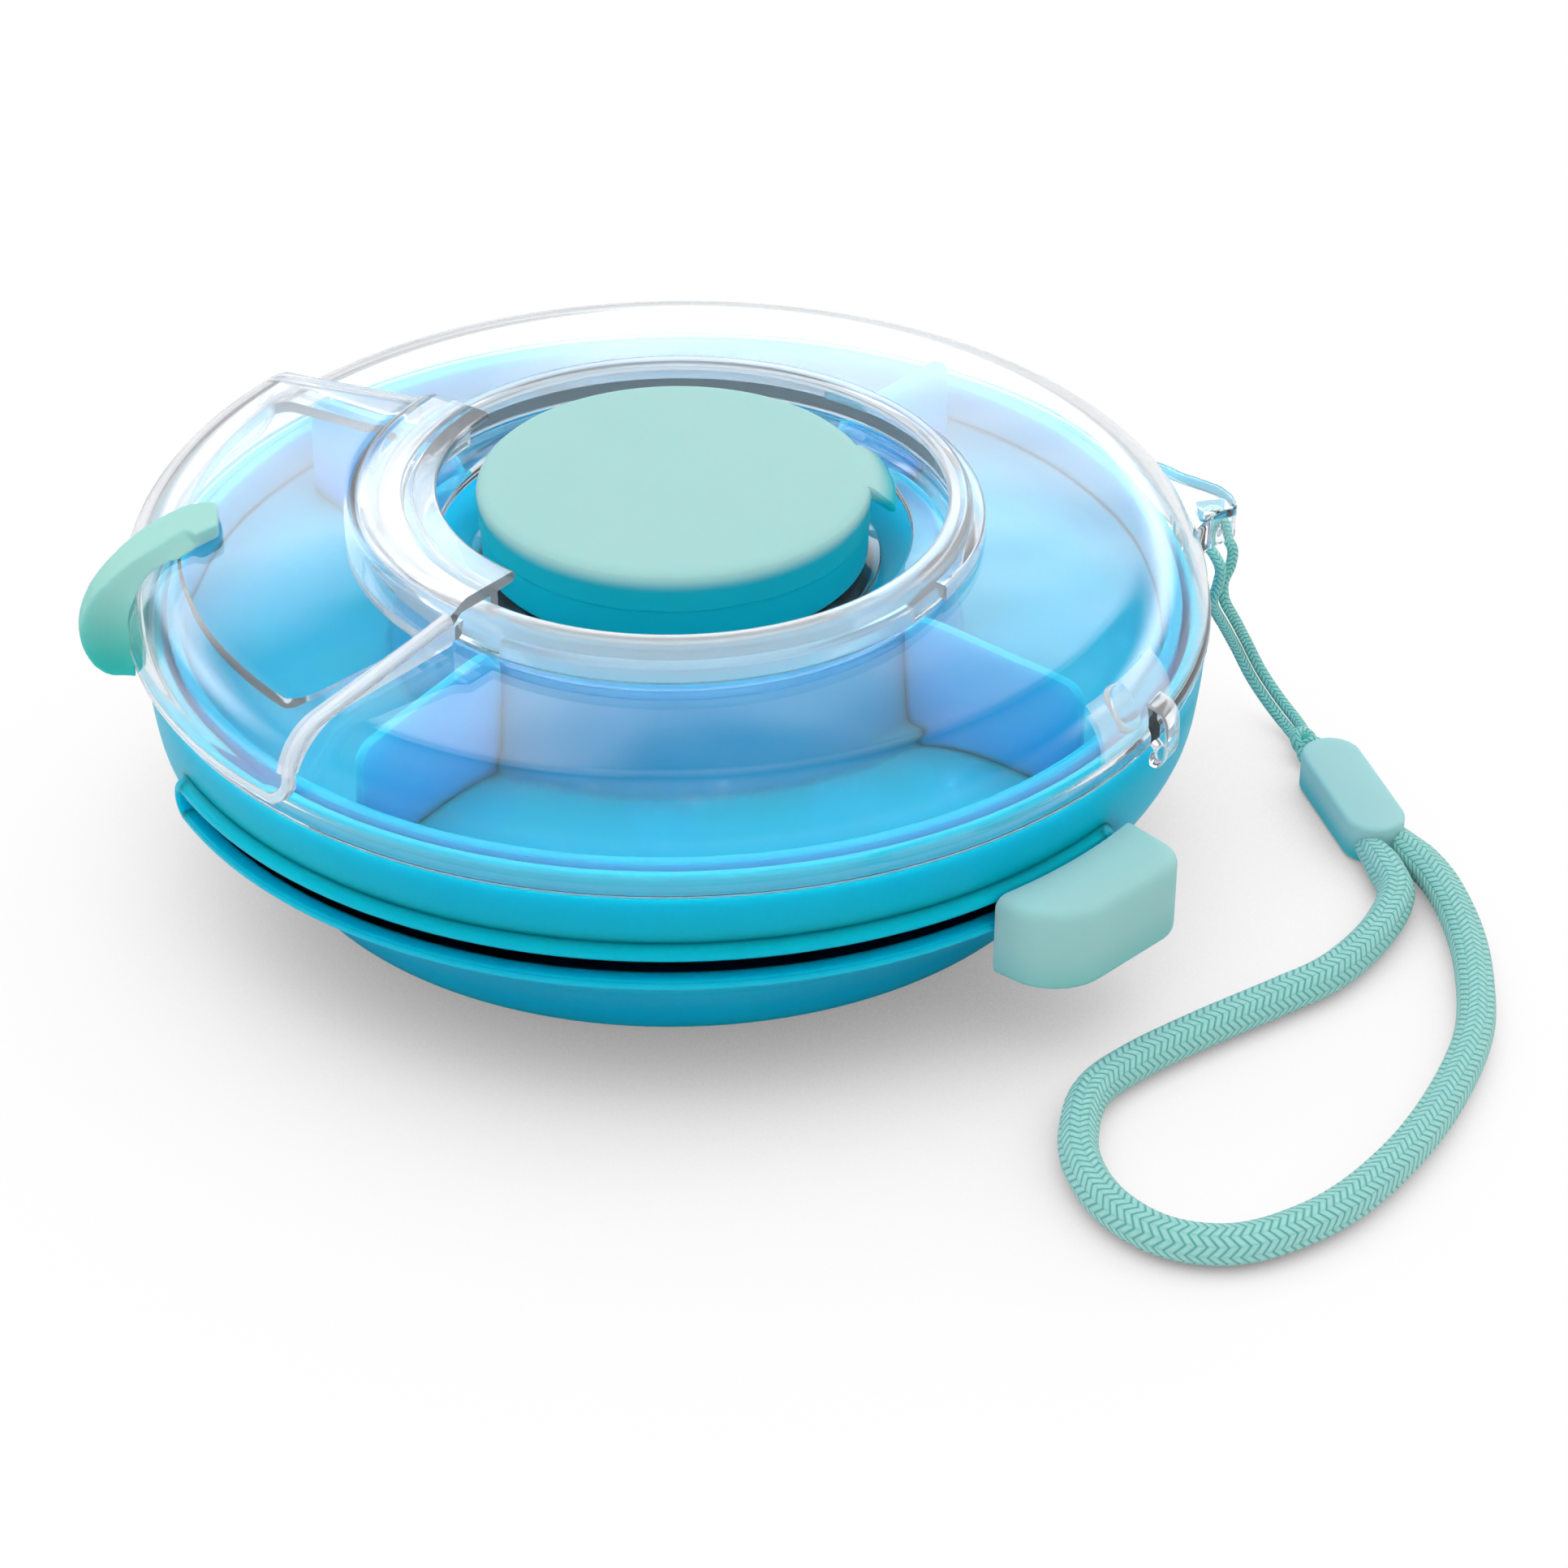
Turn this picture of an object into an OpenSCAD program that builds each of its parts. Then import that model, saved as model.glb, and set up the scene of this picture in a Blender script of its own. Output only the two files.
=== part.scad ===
// Toddler snack container: a round tub with a turning four-compartment tray, a lever that
// indexes the tray, a clear lid with a swinging door, a lidded dip cup and a wrist lanyard.
// Millimetres, +Z up, origin on the floor at the centre of the foot ring.
// Azimuths are degrees counter-clockwise from +X, seen from above. The front is -Y.

/* [Tub] */
// Outer radius of the foot ring
foot_r = 65; // [62:0.5:67]
// Outer radius of the tub just under the lid
tub_r = 82.4; // [82:0.1:82.6]
// Height of the shoulder that the lid stands over
shoulder_z = 35.2; // [34.8:0.1:35.4]
// Wall thickness of the tub
tub_wall = 2; // [1.6:0.1:2.2]
// Start of the lever slot
slot_from = 206; // [204:0.5:208]
// End of the lever slot
slot_to = 323; // [322.5:0.5:330]
// Lower edge of the lever slot
slot_z = 22; // [21.8:0.1:22.1]
// Height of the lever slot
slot_h = 3.2; // [3:0.1:3.4]
// How far the two lips stand proud of the wall
lip_proud = 1.3; // [0.8:0.1:1.6]

/* [Tray] */
// Underside of the compartment floors
floor_z = 26.2; // [26:0.1:26.4]
// Thickness of the tray walls and floors
tray_wall = 1.8; // [1.4:0.1:1.9]
// Outer radius of the tray rim
tray_r = 78.4; // [78:0.1:78.6]
// Top of the tray rim
tray_top = 39; // [38:0.1:39.2]
// Outer radius of the hub at its foot
hub_r = 44.5; // [44:0.1:45]
// Top of the hub
hub_top = 45; // [44:0.1:45.2]
// Azimuth of the first divider
divider_az = 54; // [50:1:58]
// Radius of the outer ends of the dividers
divider_r = 74.2; // [72:0.1:74.6]

/* [Lever] */
// Azimuth of the lever at rest
lever_az = 314; // [312:0.5:314]
// Half the angle that the lever arm spans
arm_half = 7.5; // [6.5:0.5:7.5]
// Thickness of the drive plate
plate_t = 2.2; // [1.8:0.1:2.3]
// Width of the grip
grip_w = 29.4; // [26:0.1:31]
// Height of the grip
grip_h = 14; // [13:0.1:14.4]

/* [Lid] */
// Outer radius of the lid
lid_r = 83; // [82.9:0.1:83]
// Height of the flat of the dome
dome_z = 49.3; // [49:0.1:49.4]
// Radius of the shoulder of the dome
dome_arc = 11.5; // [10:0.1:12]
// Wall thickness of the clear pieces
clear_wall = 1.8; // [1.6:0.1:1.9]
// Top of the collar
collar_z = 54.3; // [54:0.1:54.4]
// Azimuth of the lanyard lug
lug_az = 14; // [12:0.5:15]
// Azimuth of the snap hook
hook_az = 330; // [328:1:334]

/* [Door] */
// Azimuth of the back edge of the door
door_from = 145; // [143:1:147]
// Angle that the door spans
door_span = 86; // [84:1:87]
// Azimuth of the thumb tab
tab_az = 189; // [187:1:191]
// Reach of the thumb tab from the axis
tab_r = 92; // [89:0.5:93]

/* [Cup] */
// Outer radius of the cup at its rim
cup_r = 29.2; // [28.5:0.1:29.3]
// Top of the cup
cup_top = 51.6; // [50.5:0.1:51.8]
// Radius of the cap
cap_r = 30.6; // [30:0.1:31]
// Top of the cap
cap_z = 57.2; // [56.5:0.1:57.6]

/* [Lanyard] */
// Diameter of the thin braided cord
thin_d = 1.6; // [1.4:0.1:1.7]
// Diameter of the thick braided cord
thick_d = 5.8; // [5:0.1:6]

/* [Hidden] */
$fn = 96;

tub_blue = [0.00, 0.60, 0.84];
tray_blue = [0.20, 0.70, 0.92];
mint = [0.62, 0.86, 0.83];
clear = [0.86, 0.93, 0.96, 0.35];

gap = 0.3;                     // clearance between pieces that move
run = 0.06;                    // running clearance of a journal
step = 90;                     // one compartment

floor_top = floor_z + tray_wall;
base_floor = 4;                // top of the tub's floor
foot_recess = 2;               // depth of the hollow inside the foot ring
rim_r = tub_r - 1.8;           // upstand that the lid fits over
rim_top = 38.6;
journal_r = 42.6;              // ring that the drive plate turns on
journal_in = 41;
journal_top = 24.5;
plate_z = slot_z + 0.5;
plate_top = plate_z + plate_t;
plate_r = 57;
post_r = 10;                   // post that the tray turns on
post_top = 20.3;
well_z = 18.2;                 // underside of the hub's well
well_top = well_z + tray_wall;
boss_r = 13;
boss_z = 9;
socket_r = 30.2;               // mouth of the socket for the cup
shelf_z = 41.9;
shoulder_r = lid_r - dome_arc; // centre of the dome's shoulder arc
shoulder_c = dome_z - dome_arc;
skirt_z = shoulder_z + gap;
tooth_h = 1.1;                 // height of the ratchet teeth
tooth_r = 50;                  // middle of the toothed ring
tooth_w = 9;
tooth_pitch = 30;
door_c = [76, 42.6];           // centre of the door's shoulder arc
door_arc = 8.8;
door_wall = 1.6;
door_skirt = door_c[0] + door_arc;
door_low = 38.3;               // lower edge of the door
grip_z = 12.8;
grip_in = tub_r + lip_proud + gap;
grip_out = 94.7;
lug_r = 90.9;                  // tip of the lug
lug_y = -1.5;                  // offset of the lanyard's window along the rim
lug_z = 36.9;                  // bar inside the lug
bar_r = 0.6;

// Knot, sleeve and the routes of the two cords
knot_at = [101.2, 8.8, 2.7];
knot_end = [102.1, 6.0, 2.7];
sleeve_at = [106.6, -9.5];
sleeve_dir = -75;
sleeve_len = 27.4;
sleeve_w = 9.7;
sleeve_h = 7;
thin_pts = [
    [101.7, 10.2, 2.9], [100.9, 14.4, 2.7], [98.1, 19.3, 4.5], [95.0, 21.6, 8.5],
    [92.4, 22.3, 13.5], [90.1, 20.9, 18.5], [88.0, 19.6, 23.0], [87.7, 20.0, 26.2],
    [88.7, 20.3, 29.2], [88.8, 20.4, 32.2], [87.2, 20.2, 35.0], [86.6, 20.1, 36.9],
    [86.1, 20.0, 38.1], [85.0, 19.7, 38.5], [84.0, 19.4, 38.1], [83.5, 19.3, 36.9],
    [83.8, 18.9, 34.6], [85.6, 18.2, 32.4], [86.8, 17.8, 29.8], [86.5, 17.9, 26.6],
    [86.0, 18.3, 23.0], [88.5, 20.0, 17.5], [90.8, 21.7, 12.5], [93.4, 21.0, 7.5],
    [96.5, 18.7, 3.5], [99.3, 13.8, 1.8], [100.4, 9.9, 2.2]];
thick_pts = [
    [107.0, -17.8, 3], [108.2, -22.6, 3], [109.8, -28.4, 3], [110.4, -35.6, 3],
    [106.0, -45.5, 3],
    [98.5, -55.0, 3], [89.5, -61.5, 3], [77.5, -69.5, 3], [67.5, -77.0, 3],
    [61.0, -84.0, 3], [58.5, -92.5, 3], [58.5, -101.0, 3], [62.0, -110.0, 3],
    [69.0, -116.5, 3], [78.0, -118.0, 3], [87.0, -114.5, 3], [95.5, -108.0, 3],
    [104.5, -97.0, 3], [112.0, -84.0, 3], [117.5, -70.0, 3], [119.5, -56.0, 3],
    [119.5, -43.5, 3], [117.6, -31.6, 3], [113.7, -22.0, 3], [110.9, -16.6, 3]];

// Points of an arc about (cx, cy), from angle a to angle b
function arc(cx, cy, r, a, b, n) =
    [for (i = [0:n]) let (t = a + (b - a) * i / n) [cx + r * cos(t), cy + r * sin(t)]];

// Outline of a rectangle with round corners, centred on the origin
function round_box(w, d, r, n = 6) = concat(
    arc(w / 2 - r, d / 2 - r, r, 0, 90, n), arc(r - w / 2, d / 2 - r, r, 90, 180, n),
    arc(r - w / 2, r - d / 2, r, 180, 270, n), arc(w / 2 - r, r - d / 2, r, 270, 360, n));

// A point between b and c on the smooth curve through a, b, c and d
function curve_at(a, b, c, d, t) =
    0.5 * (2 * b + (c - a) * t + (2 * a - 5 * b + 4 * c - d) * t * t
           + (3 * b - a - 3 * c + d) * t * t * t);
function smooth(p, n) = let (m = len(p) - 1) concat(
    [for (i = [0:m - 1], k = [0:n - 1])
        curve_at(p[max(i - 1, 0)], p[i], p[i + 1], p[min(i + 2, m)], k / n)],
    [p[m]]);
function unit(v) = v / norm(v);
function ring(at, along, up, r, n) =
    let (u = unit(cross(along, up)), w = unit(cross(u, along)))
    [for (k = [0:n - 1]) at + r * (u * cos(360 * k / n) + w * sin(360 * k / n))];

// Tube swept along points, its radius given at every point, square at both ends
module tube(p, r, up, n) {
    m = len(p) - 1;
    rings = [for (i = [0:m])
        each ring(p[i], unit(p[min(i + 1, m)] - p[max(i - 1, 0)]), up, r[i], n)];
    sides = [for (i = [0:m - 1], k = [0:n - 1])
        each [[i * n + k, i * n + (k + 1) % n, (i + 1) * n + k],
              [i * n + (k + 1) % n, (i + 1) * n + (k + 1) % n, (i + 1) * n + k]]];
    ends = [for (k = [1:n - 2]) each [[0, k + 1, k], [m * n, m * n + k, m * n + k + 1]]];
    polyhedron(concat(rings, []), concat(sides, ends));
}

// Ring segment: an outline in (radius, height) turned from one azimuth through an angle
module sector(from, span, outline) {
    rotate([0, 0, from])
        rotate_extrude(angle = span)
            polygon(outline);
}

module full_ring(outline) {
    rotate_extrude()
        polygon(outline);
}

// ---------------------------------------------------------------- tub

module tub_body() {
    full_ring([
        [0, foot_recess], [foot_r - 4, foot_recess], [foot_r - 3.4, 0], [foot_r, 0],
        [foot_r + 1.4, 4.6], [foot_r + 5, 9.8], [75, 14], [79, 17.6], [tub_r - 1.2, 20.6],
        [tub_r - 0.4, 26], [tub_r, 31], [tub_r, shoulder_z], [rim_r, shoulder_z],
        [rim_r, rim_top - 0.4], [rim_r - 0.4, rim_top], [rim_r - 1.2, rim_top],
        [rim_r - 1.2, 34.6], [tub_r - tub_wall, 31], [tub_r - 0.4 - tub_wall, 26],
        [tub_r - 1.4 - tub_wall, 21.6], [77.2, 18.4], [73.6, 15.4], [68.8, 11.4],
        [foot_r - 0.6, 6.4], [foot_r - 1.6, base_floor], [0, base_floor]]);
}

// Two lips along the slot, rounded off together at both ends
module slot_lips() {
    edge = tub_r + lip_proud;
    top = slot_z + slot_h;
    end_r = 4.95;              // rounding of the ends, seen along the radius
    end_deg = 3.4;             // the same as an angle
    middle = slot_z + 2;
    span = slot_to - slot_from;
    intersection() {
        union() {
            // upper lip: flat underneath, sloping back into the wall above
            sector(slot_from, span, [
                [tub_r - 1.6, top], [edge - 0.5, top], [edge, top + 0.5],
                [edge - 0.1, top + 1.3], [tub_r - 0.3, top + 3.4], [tub_r - 1.6, top + 3.4]]);
            // lower lip
            sector(slot_from, span, [
                [tub_r - 2.2, slot_z], [edge - 0.4, slot_z], [edge, slot_z - 0.6],
                [edge - 0.3, slot_z - 1.4], [tub_r - 1.6, slot_z - 2.6],
                [tub_r - 3.2, slot_z - 2.6]]);
            // web that joins the lips at each end of the slot
            for (az = [slot_from, slot_to - end_deg])
                sector(az, end_deg, [
                    [tub_r - 2, slot_z - 0.8], [edge - 0.3, slot_z - 0.8],
                    [edge - 0.3, top + 0.8], [tub_r - 2, top + 0.8]]);
        }
        union() {
            sector(slot_from + end_deg, span - 2 * end_deg, [
                [tub_r - 6, slot_z - 5], [tub_r + 4, slot_z - 5],
                [tub_r + 4, top + 6], [tub_r - 6, top + 6]]);
            for (az = [slot_from + end_deg, slot_to - end_deg])
                rotate([0, 0, az])
                    translate([tub_r - 7, 0, middle])
                        rotate([0, 90, 0])
                            cylinder(r = end_r, h = 12);
        }
    }
}

// Ring that carries the drive plate, with the shelf under it and its radial ribs
module drive_bearing() {
    full_ring([
        [journal_in, base_floor - 0.5], [journal_r, base_floor - 0.5],
        [journal_r, plate_z - 2], [journal_r + 5, plate_z - 2], [journal_r + 5, plate_z - gap],
        [journal_r, plate_z - gap], [journal_r, journal_top], [journal_in, journal_top]]);
    for (k = [0:7])
        rotate([0, 0, k * 45 + 10])
            translate([journal_r - 0.5, -0.8, base_floor - 0.5])
                cube([18, 1.6, plate_z - 2 - base_floor + 0.5]);
}

// Hollow post with four snap barbs that hold the tray down
module tray_post() {
    difference() {
        union() {
            translate([0, 0, base_floor - 0.5])
                cylinder(r = post_r, h = post_top + 1.4 - base_floor + 0.5);
            // step that the tray's boss rests over
            translate([0, 0, base_floor - 0.5])
                cylinder(r = boss_r, h = boss_z - gap - base_floor + 0.5);
        }
        translate([0, 0, base_floor])
            cylinder(r = post_r - 2, h = 20);
        for (a = [0, 90])
            rotate([0, 0, a])
                translate([-post_r - 1, -0.75, post_top - 7])
                    cube([2 * post_r + 2, 1.5, 12]);
    }
    for (a = [20:90:290])
        sector(a, 50, [[post_r - 1, post_top], [post_r + 0.9, post_top],
                       [post_r + 0.9, post_top + 0.4], [post_r, post_top + 1.4],
                       [post_r - 1, post_top + 1.4]]);
    for (k = [0:3])
        rotate([0, 0, k * 90])
            translate([post_r + 4.4, -0.8, base_floor - 0.5])
                cube([journal_in - post_r - 4, 1.6, 10.5]);
}

// Spring tongue moulded on the wall, whose bump drops into the tray's dimples
module detent_tongue(az) {
    rotate([0, 0, az]) {
        translate([60, -4, floor_z - 3.4])
            cube([tub_r - tub_wall - 60.4, 8, 1.5]);
        translate([64, 0, floor_z - 2.2])
            cylinder(r1 = 3, r2 = 1.6, h = 2.2 - gap);
    }
}

module base_shell() {
    color(tub_blue) {
        difference() {
            union() {
                tub_body();
                slot_lips();
            }
            sector(slot_from + 1.2, slot_to - slot_from - 2.4, [
                [tub_r - 8, slot_z], [tub_r + 6, slot_z],
                [tub_r + 6, slot_z + slot_h], [tub_r - 8, slot_z + slot_h]]);
        }
        drive_bearing();
        tray_post();
        detent_tongue(divider_az);
        detent_tongue(divider_az + step);
    }
}

// ---------------------------------------------------------------- tray

// The tray is one moulding. It is drawn as three bodies of revolution that meet face to
// face: the bowls with their floor, the hub with its ledge, and the socket for the cup.
module tray_bowl() {
    full_ring([
        [hub_r - 1.5, floor_z], [70, floor_z], [73.8, 27.4], [76.6, 30.2], [78, 34],
        [tray_r, tray_top - 0.5], [tray_r - 0.4, tray_top], [tray_r - 1.4, tray_top],
        [tray_r - 1.8, tray_top - 0.5], [76.3, 34.4], [75.1, 31.2], [72.8, 29],
        [69.6, floor_top], [hub_r - 2.1, floor_top]]);
}

// A wall between two compartments, from the hub's sloping side to the outer wall
module divider(az) {
    top_in = dome_z - clear_wall - 0.8;
    slope = 0.1;               // lean of the hub's side
    near = hub_r + 0.02;
    rotate([0, 0, az])
        rotate([90, 0, 0])
            translate([0, 0, -0.9])
                linear_extrude(1.8)
                    polygon(concat(
                        [[near + 1.2 * slope, floor_top - 1.2], [70, floor_z + 0.6],
                         [divider_r, floor_z + 2.6],
                         [divider_r, 43]],
                        arc(divider_r - 2.5, 42.6, 2.5, 10, 90, 4),
                        [[60, top_in - 0.8], [50, top_in], [46.2, top_in],
                         [hub_r - 0.4, hub_top - 0.6],
                         [near - 15.8 * slope, floor_top + 15.8]]));
}

// Saw-tooth under the floor: upright on one side, running out on the other
module ratchet_tooth(az) {
    rotate([0, 0, az])
        translate([tooth_r - tooth_w / 2, 0, 0])
            rotate([90, 0, 90])
                linear_extrude(tooth_w)
                    polygon([[0, floor_z + 0.5], [0, floor_z - tooth_h],
                             [-17, floor_z + 0.1], [-17, floor_z + 0.5]]);
}

module compartment_tray() {
    color(tray_blue)
        difference() {
            union() {
                tray_bowl();
                for (k = [0:3])
                    divider(divider_az + k * step);
                for (k = [0:11])
                    ratchet_tooth(divider_az + k * tooth_pitch);
            }
            for (k = [0:3])
                rotate([0, 0, divider_az + k * step])
                    translate([64, 0, floor_z - 1.9])
                        sphere(r = 2.6);
        }
}

module tray_hub() {
    color(tray_blue)
        full_ring([
            [hub_r - 2.1, floor_top], [hub_r, floor_top], [hub_r - 1.6, hub_top - 1],
            [hub_r - 2, hub_top], [hub_r - 3.2, hub_top], [hub_r - 3.4, hub_top - 1.2],
            [socket_r + 2.2, shelf_z], [socket_r + 1.8, shelf_z - tray_wall],
            [hub_r - 4.2, hub_top - 3.4], [hub_r - 3.4, floor_z + 6]]);
}

// Socket for the cup, with a boss that turns on the tub's post
module cup_socket() {
    color(tray_blue)
        full_ring([
            [socket_r + 2.2, shelf_z], [socket_r, shelf_z], [socket_r - 1.6, well_top],
            [post_r + run, well_top], [post_r + run, boss_z], [boss_r, boss_z],
            [boss_r, well_z], [socket_r, well_z], [socket_r + 1.8, shelf_z - tray_wall]]);
}

// ---------------------------------------------------------------- lever

// Wedge on a pawl, its upright face against the next tooth
module pawl_wedge() {
    translate([tooth_r - tooth_w / 2 + 1, gap, 0])
        rotate([90, 0, 90])
            linear_extrude(tooth_w - 2)
                polygon([[0, plate_top - 0.4], [8, plate_top - 0.4], [0, floor_z - gap]]);
}

// C-shaped slot that frees one springy pawl arm from the plate
module pawl_slots() {
    inner = tooth_r - 5.2;
    outer = tooth_r + 5.2;
    low = plate_z - 1;
    high = plate_top + 1;
    difference() {
        sector(-1, 31, [[inner, low], [outer, low], [outer, high], [inner, high]]);
        sector(0.2, 32, [[inner + 0.8, low - 1], [outer - 0.8, low - 1],
                         [outer - 0.8, high + 1], [inner + 0.8, high + 1]]);
    }
}

module drive_plate() {
    color(tub_blue)
        difference() {
            union() {
                full_ring([[journal_r + run, plate_z], [plate_r, plate_z],
                           [plate_r, plate_top], [journal_r + run, plate_top]]);
                sector(lever_az - arm_half, 2 * arm_half, [
                    [plate_r - 1, plate_z], [grip_in + 5, plate_z],
                    [grip_in + 5, plate_top], [plate_r - 1, plate_top]]);
                for (k = [0:3])
                    rotate([0, 0, divider_az + k * step])
                        pawl_wedge();
            }
            for (k = [0:3])
                rotate([0, 0, divider_az + k * step])
                    pawl_slots();
        }
}

// Outline of the grip from above, in the lever's own frame: its clockwise corner is the
// rounder one. The edge takes that much off all round.
function grip_plan(edge) =
    let (w = grip_w / 2 - edge, out = grip_out - edge, back = tub_r - 1)
    [[back, -w], [86 - edge, 0.6 - w], [88.5 - edge, 1.2 - w], [91 - edge, 2.6 - w],
     [92.9 - edge, 4.6 - w], [94.1 - edge, 7.4 - w], [out, 11 - w], [out, w - 7],
     [94.1 - edge, w - 4], [92.9 - edge, w - 2], [91 - edge, w - 1], [88 - edge, w - 0.4],
     [back, w]];

module lever_grip() {
    soft = 1.4;
    color(mint)
        difference() {
            rotate([0, 0, lever_az])
                translate([0, 0, grip_z])
                    hull() {
                        translate([0, 0, soft])
                            linear_extrude(grip_h - 2 * soft)
                                polygon(grip_plan(0));
                        translate([0, 0, soft * 0.3])
                            linear_extrude(grip_h - soft * 0.6)
                                polygon(grip_plan(soft * 0.3));
                        linear_extrude(grip_h)
                            polygon(grip_plan(soft));
                    }
            // the back hollows out to follow the lips
            translate([0, 0, grip_z - 1])
                cylinder(r = grip_in, h = grip_h + 2);
        }
}

// ---------------------------------------------------------------- lid

// Outline of the dome, its collar and its ledge
function lid_outline() = concat(
    [[lid_r, skirt_z], [lid_r, skirt_z + 1.2]],
    arc(shoulder_r, shoulder_c, dome_arc, 4, 90, 9),
    [[46.6, dome_z], [45.7, 53.4], [44.9, collar_z], [42.6, collar_z], [42.1, collar_z - 0.5],
     [42.1, 53], [43.9, 53], [43.9, 47.5], [36.8, 47.5], [36.5, 47.1], [36.5, 46.2],
     [45.4, 46.2], [46, 47.5]],
    arc(shoulder_r, shoulder_c, dome_arc - clear_wall, 90, 4, 9),
    [[lid_r - 2, skirt_z]]);

// Lug: a nose on the rim, hollow from below, with a bar inside that the lanyard loops over
module lug() {
    rotate([0, 0, lug_az]) {
        difference() {
            translate([0, 0, skirt_z])
                linear_extrude(5.4)
                    polygon([[lid_r - 1.6, -9], [lid_r + 1, -7.2], [lug_r - 4.6, -5.4],
                             [lug_r - 1.2, -4.2], [lug_r - 0.2, -3], [lug_r, -1.4],
                             [lug_r - 0.1, 0.8], [lug_r - 1, 2.8], [lug_r - 2.6, 5.4],
                             [lid_r + 2.9, 8.3], [lid_r + 0.6, 12.4], [lid_r - 1.6, 14.5]]);
            translate([lug_r - 6.25, lug_y - 1.6, skirt_z - 1])
                cube([5.25, 3.2, 4.9]);
        }
        translate([lug_r - 3.6, lug_y + 2, lug_z])
            rotate([90, 0, 0])
                cylinder(r = bar_r, h = 4);
    }
}

// Snap hook: a narrow pill on the rim whose tongue reaches under the tub's shoulder
module snap_hook() {
    rotate([0, 0, hook_az])
        rotate([90, 0, 0])
            translate([0, 0, -2.3])
                linear_extrude(4.6)
                    polygon([[lid_r - 1.2, 42.6], [lid_r + 1.2, 41.8], [lid_r + 2.4, 40],
                             [lid_r + 2.6, 37], [lid_r + 2.4, 33.4], [lid_r + 1, 31.6],
                             [tub_r + 0.3, 32], [tub_r + 0.3, 34], [lid_r + 0.6, 34.6],
                             [lid_r - 1.2, 36.4]]);
}

// Oval boss on the dome's shoulder beside the hook
module shoulder_boss() {
    tilt = 55;                 // from the vertical
    rotate([0, 0, hook_az - 5.6])
        translate([shoulder_r, 0, shoulder_c])
            rotate([0, tilt, 0])
                translate([0, 0, dome_arc - 1])
                    linear_extrude(1.8)
                        polygon(round_box(7.6, 5.2, 2.4));
}

module lid_dome() {
    color(clear) {
        difference() {
            full_ring(lid_outline());
            // opening under the door
            sector(door_from + 5, door_span - 10, [
                [50.5, dome_z - 4], [75.5, dome_z - 4], [75.5, dome_z + 2], [50.5, dome_z + 2]]);
        }
        // castellated band round the foot of the collar
        for (k = [0:3])
            sector(divider_az + 5 + k * step, step - 10, [
                [45.6, dome_z - 0.5], [47.9, dome_z - 0.5], [47.7, dome_z + 2.2],
                [46.9, dome_z + 2.6], [45.6, dome_z + 2.6]]);
        lug();
        snap_hook();
        shoulder_boss();
    }
}

// ---------------------------------------------------------------- door

function door_outline() = concat(
    [[40.2, 49.4], [40.2, 54.7], [36.6, 54.9], [36.3, 55.6], [36.8, 56.5], [38, 56.8],
     [47.4, 56.6], [49.4, 55.2], [door_c[0], door_c[1] + door_arc]],
    arc(door_c[0], door_c[1], door_arc, 80, 0, 7),
    [[door_skirt, door_low + 0.4], [door_skirt - 0.4, door_low],
     [door_skirt - door_wall + 0.5, door_low], [door_skirt - door_wall + 0.1, door_low + 0.4]],
    arc(door_c[0], door_c[1], door_arc - door_wall, 0, 90, 8),
    [[49.2, 53.5], [48.2, 54.7], [41.7, 54.7], [41.7, 52.6], [43.4, 52.5],
     [43.4, 51.6], [41.7, 50.2], [41.7, 49.4]]);

// Side wall that closes the gap between the door and the dome
function door_side() = concat(
    [[49.6, 54.3], [door_c[0], door_c[1] + door_arc - door_wall / 2]],
    arc(door_c[0], door_c[1], door_arc - door_wall / 2, 80, 8, 6),
    arc(shoulder_r, shoulder_c, dome_arc + 0.5, 30, 90, 6),
    [[49.6, dome_z + 0.5]]);

// What the rounding takes off a lower corner of the door
module corner_cut(az, turn) {
    round_r = 7.4;
    inset = 6.9;               // from the rounding's centre to either edge
    inset_deg = 4.66;          // the same as an angle
    rotate([0, 0, az])
        mirror([0, turn, 0])
            difference() {
                sector(-1, inset_deg + 1, [
                    [door_skirt - 4, door_low - 2], [door_skirt + 2, door_low - 2],
                    [door_skirt + 2, door_low + inset], [door_skirt - 4, door_low + inset]]);
                rotate([0, 0, inset_deg])
                    translate([door_skirt - 6, 0, door_low + inset])
                        rotate([0, 90, 0])
                            cylinder(r = round_r, h = 10);
            }
}

module door_panel() {
    side = 1.5;                // angle that each side wall takes
    inset = 0.4;
    color(clear)
        difference() {
            union() {
                sector(door_from, door_span, door_outline());
                sector(door_from + inset, side, door_side());
                sector(door_from + door_span - inset - side, side, door_side());
            }
            corner_cut(door_from, 0);
            corner_cut(door_from + door_span, 1);
        }
}

// Thumb fin: it runs askew over the door's shoulder, and its front side is scooped out
module door_tab() {
    fin = concat(
        [[66, 52.4], [66, 53.6], [70, 54.2], [78, 53.4], [84, 51.8], [88, 49]],
        arc(tab_r - 6.6, 42.4, 6.6, 40, -66, 7),
        [[door_skirt - 0.6, 35], [door_skirt - 0.6, 42.6]],
        arc(door_c[0], door_c[1], door_arc - 0.5, 0, 80, 6));
    color(mint)
        difference() {
            intersection() {
                sector(tab_az - 12, 34, fin);
                rotate([0, 0, tab_az - 189])
                    linear_extrude(80)
                        polygon([[-68.9, -10.6], [-69.9, -4], [-72, -3.2], [-75, -4.4],
                                 [-79, -7.6], [-82.6, -11.2], [-85.6, -14.4],
                                 [-88.2, -17.2], [-90, -19.6], [-90.2, -21.6],
                                 [-88.8, -23.8], [-86, -25.4], [-83, -25.4], [-81, -23.8],
                                 [-79, -21.4], [-76.8, -19], [-74.6, -16.4],
                                 [-71.8, -13.2]]);
            }
            translate([-84.6, -31.6, 43.2])
                sphere(r = 10.2);
        }
}

// ---------------------------------------------------------------- cup

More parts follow.
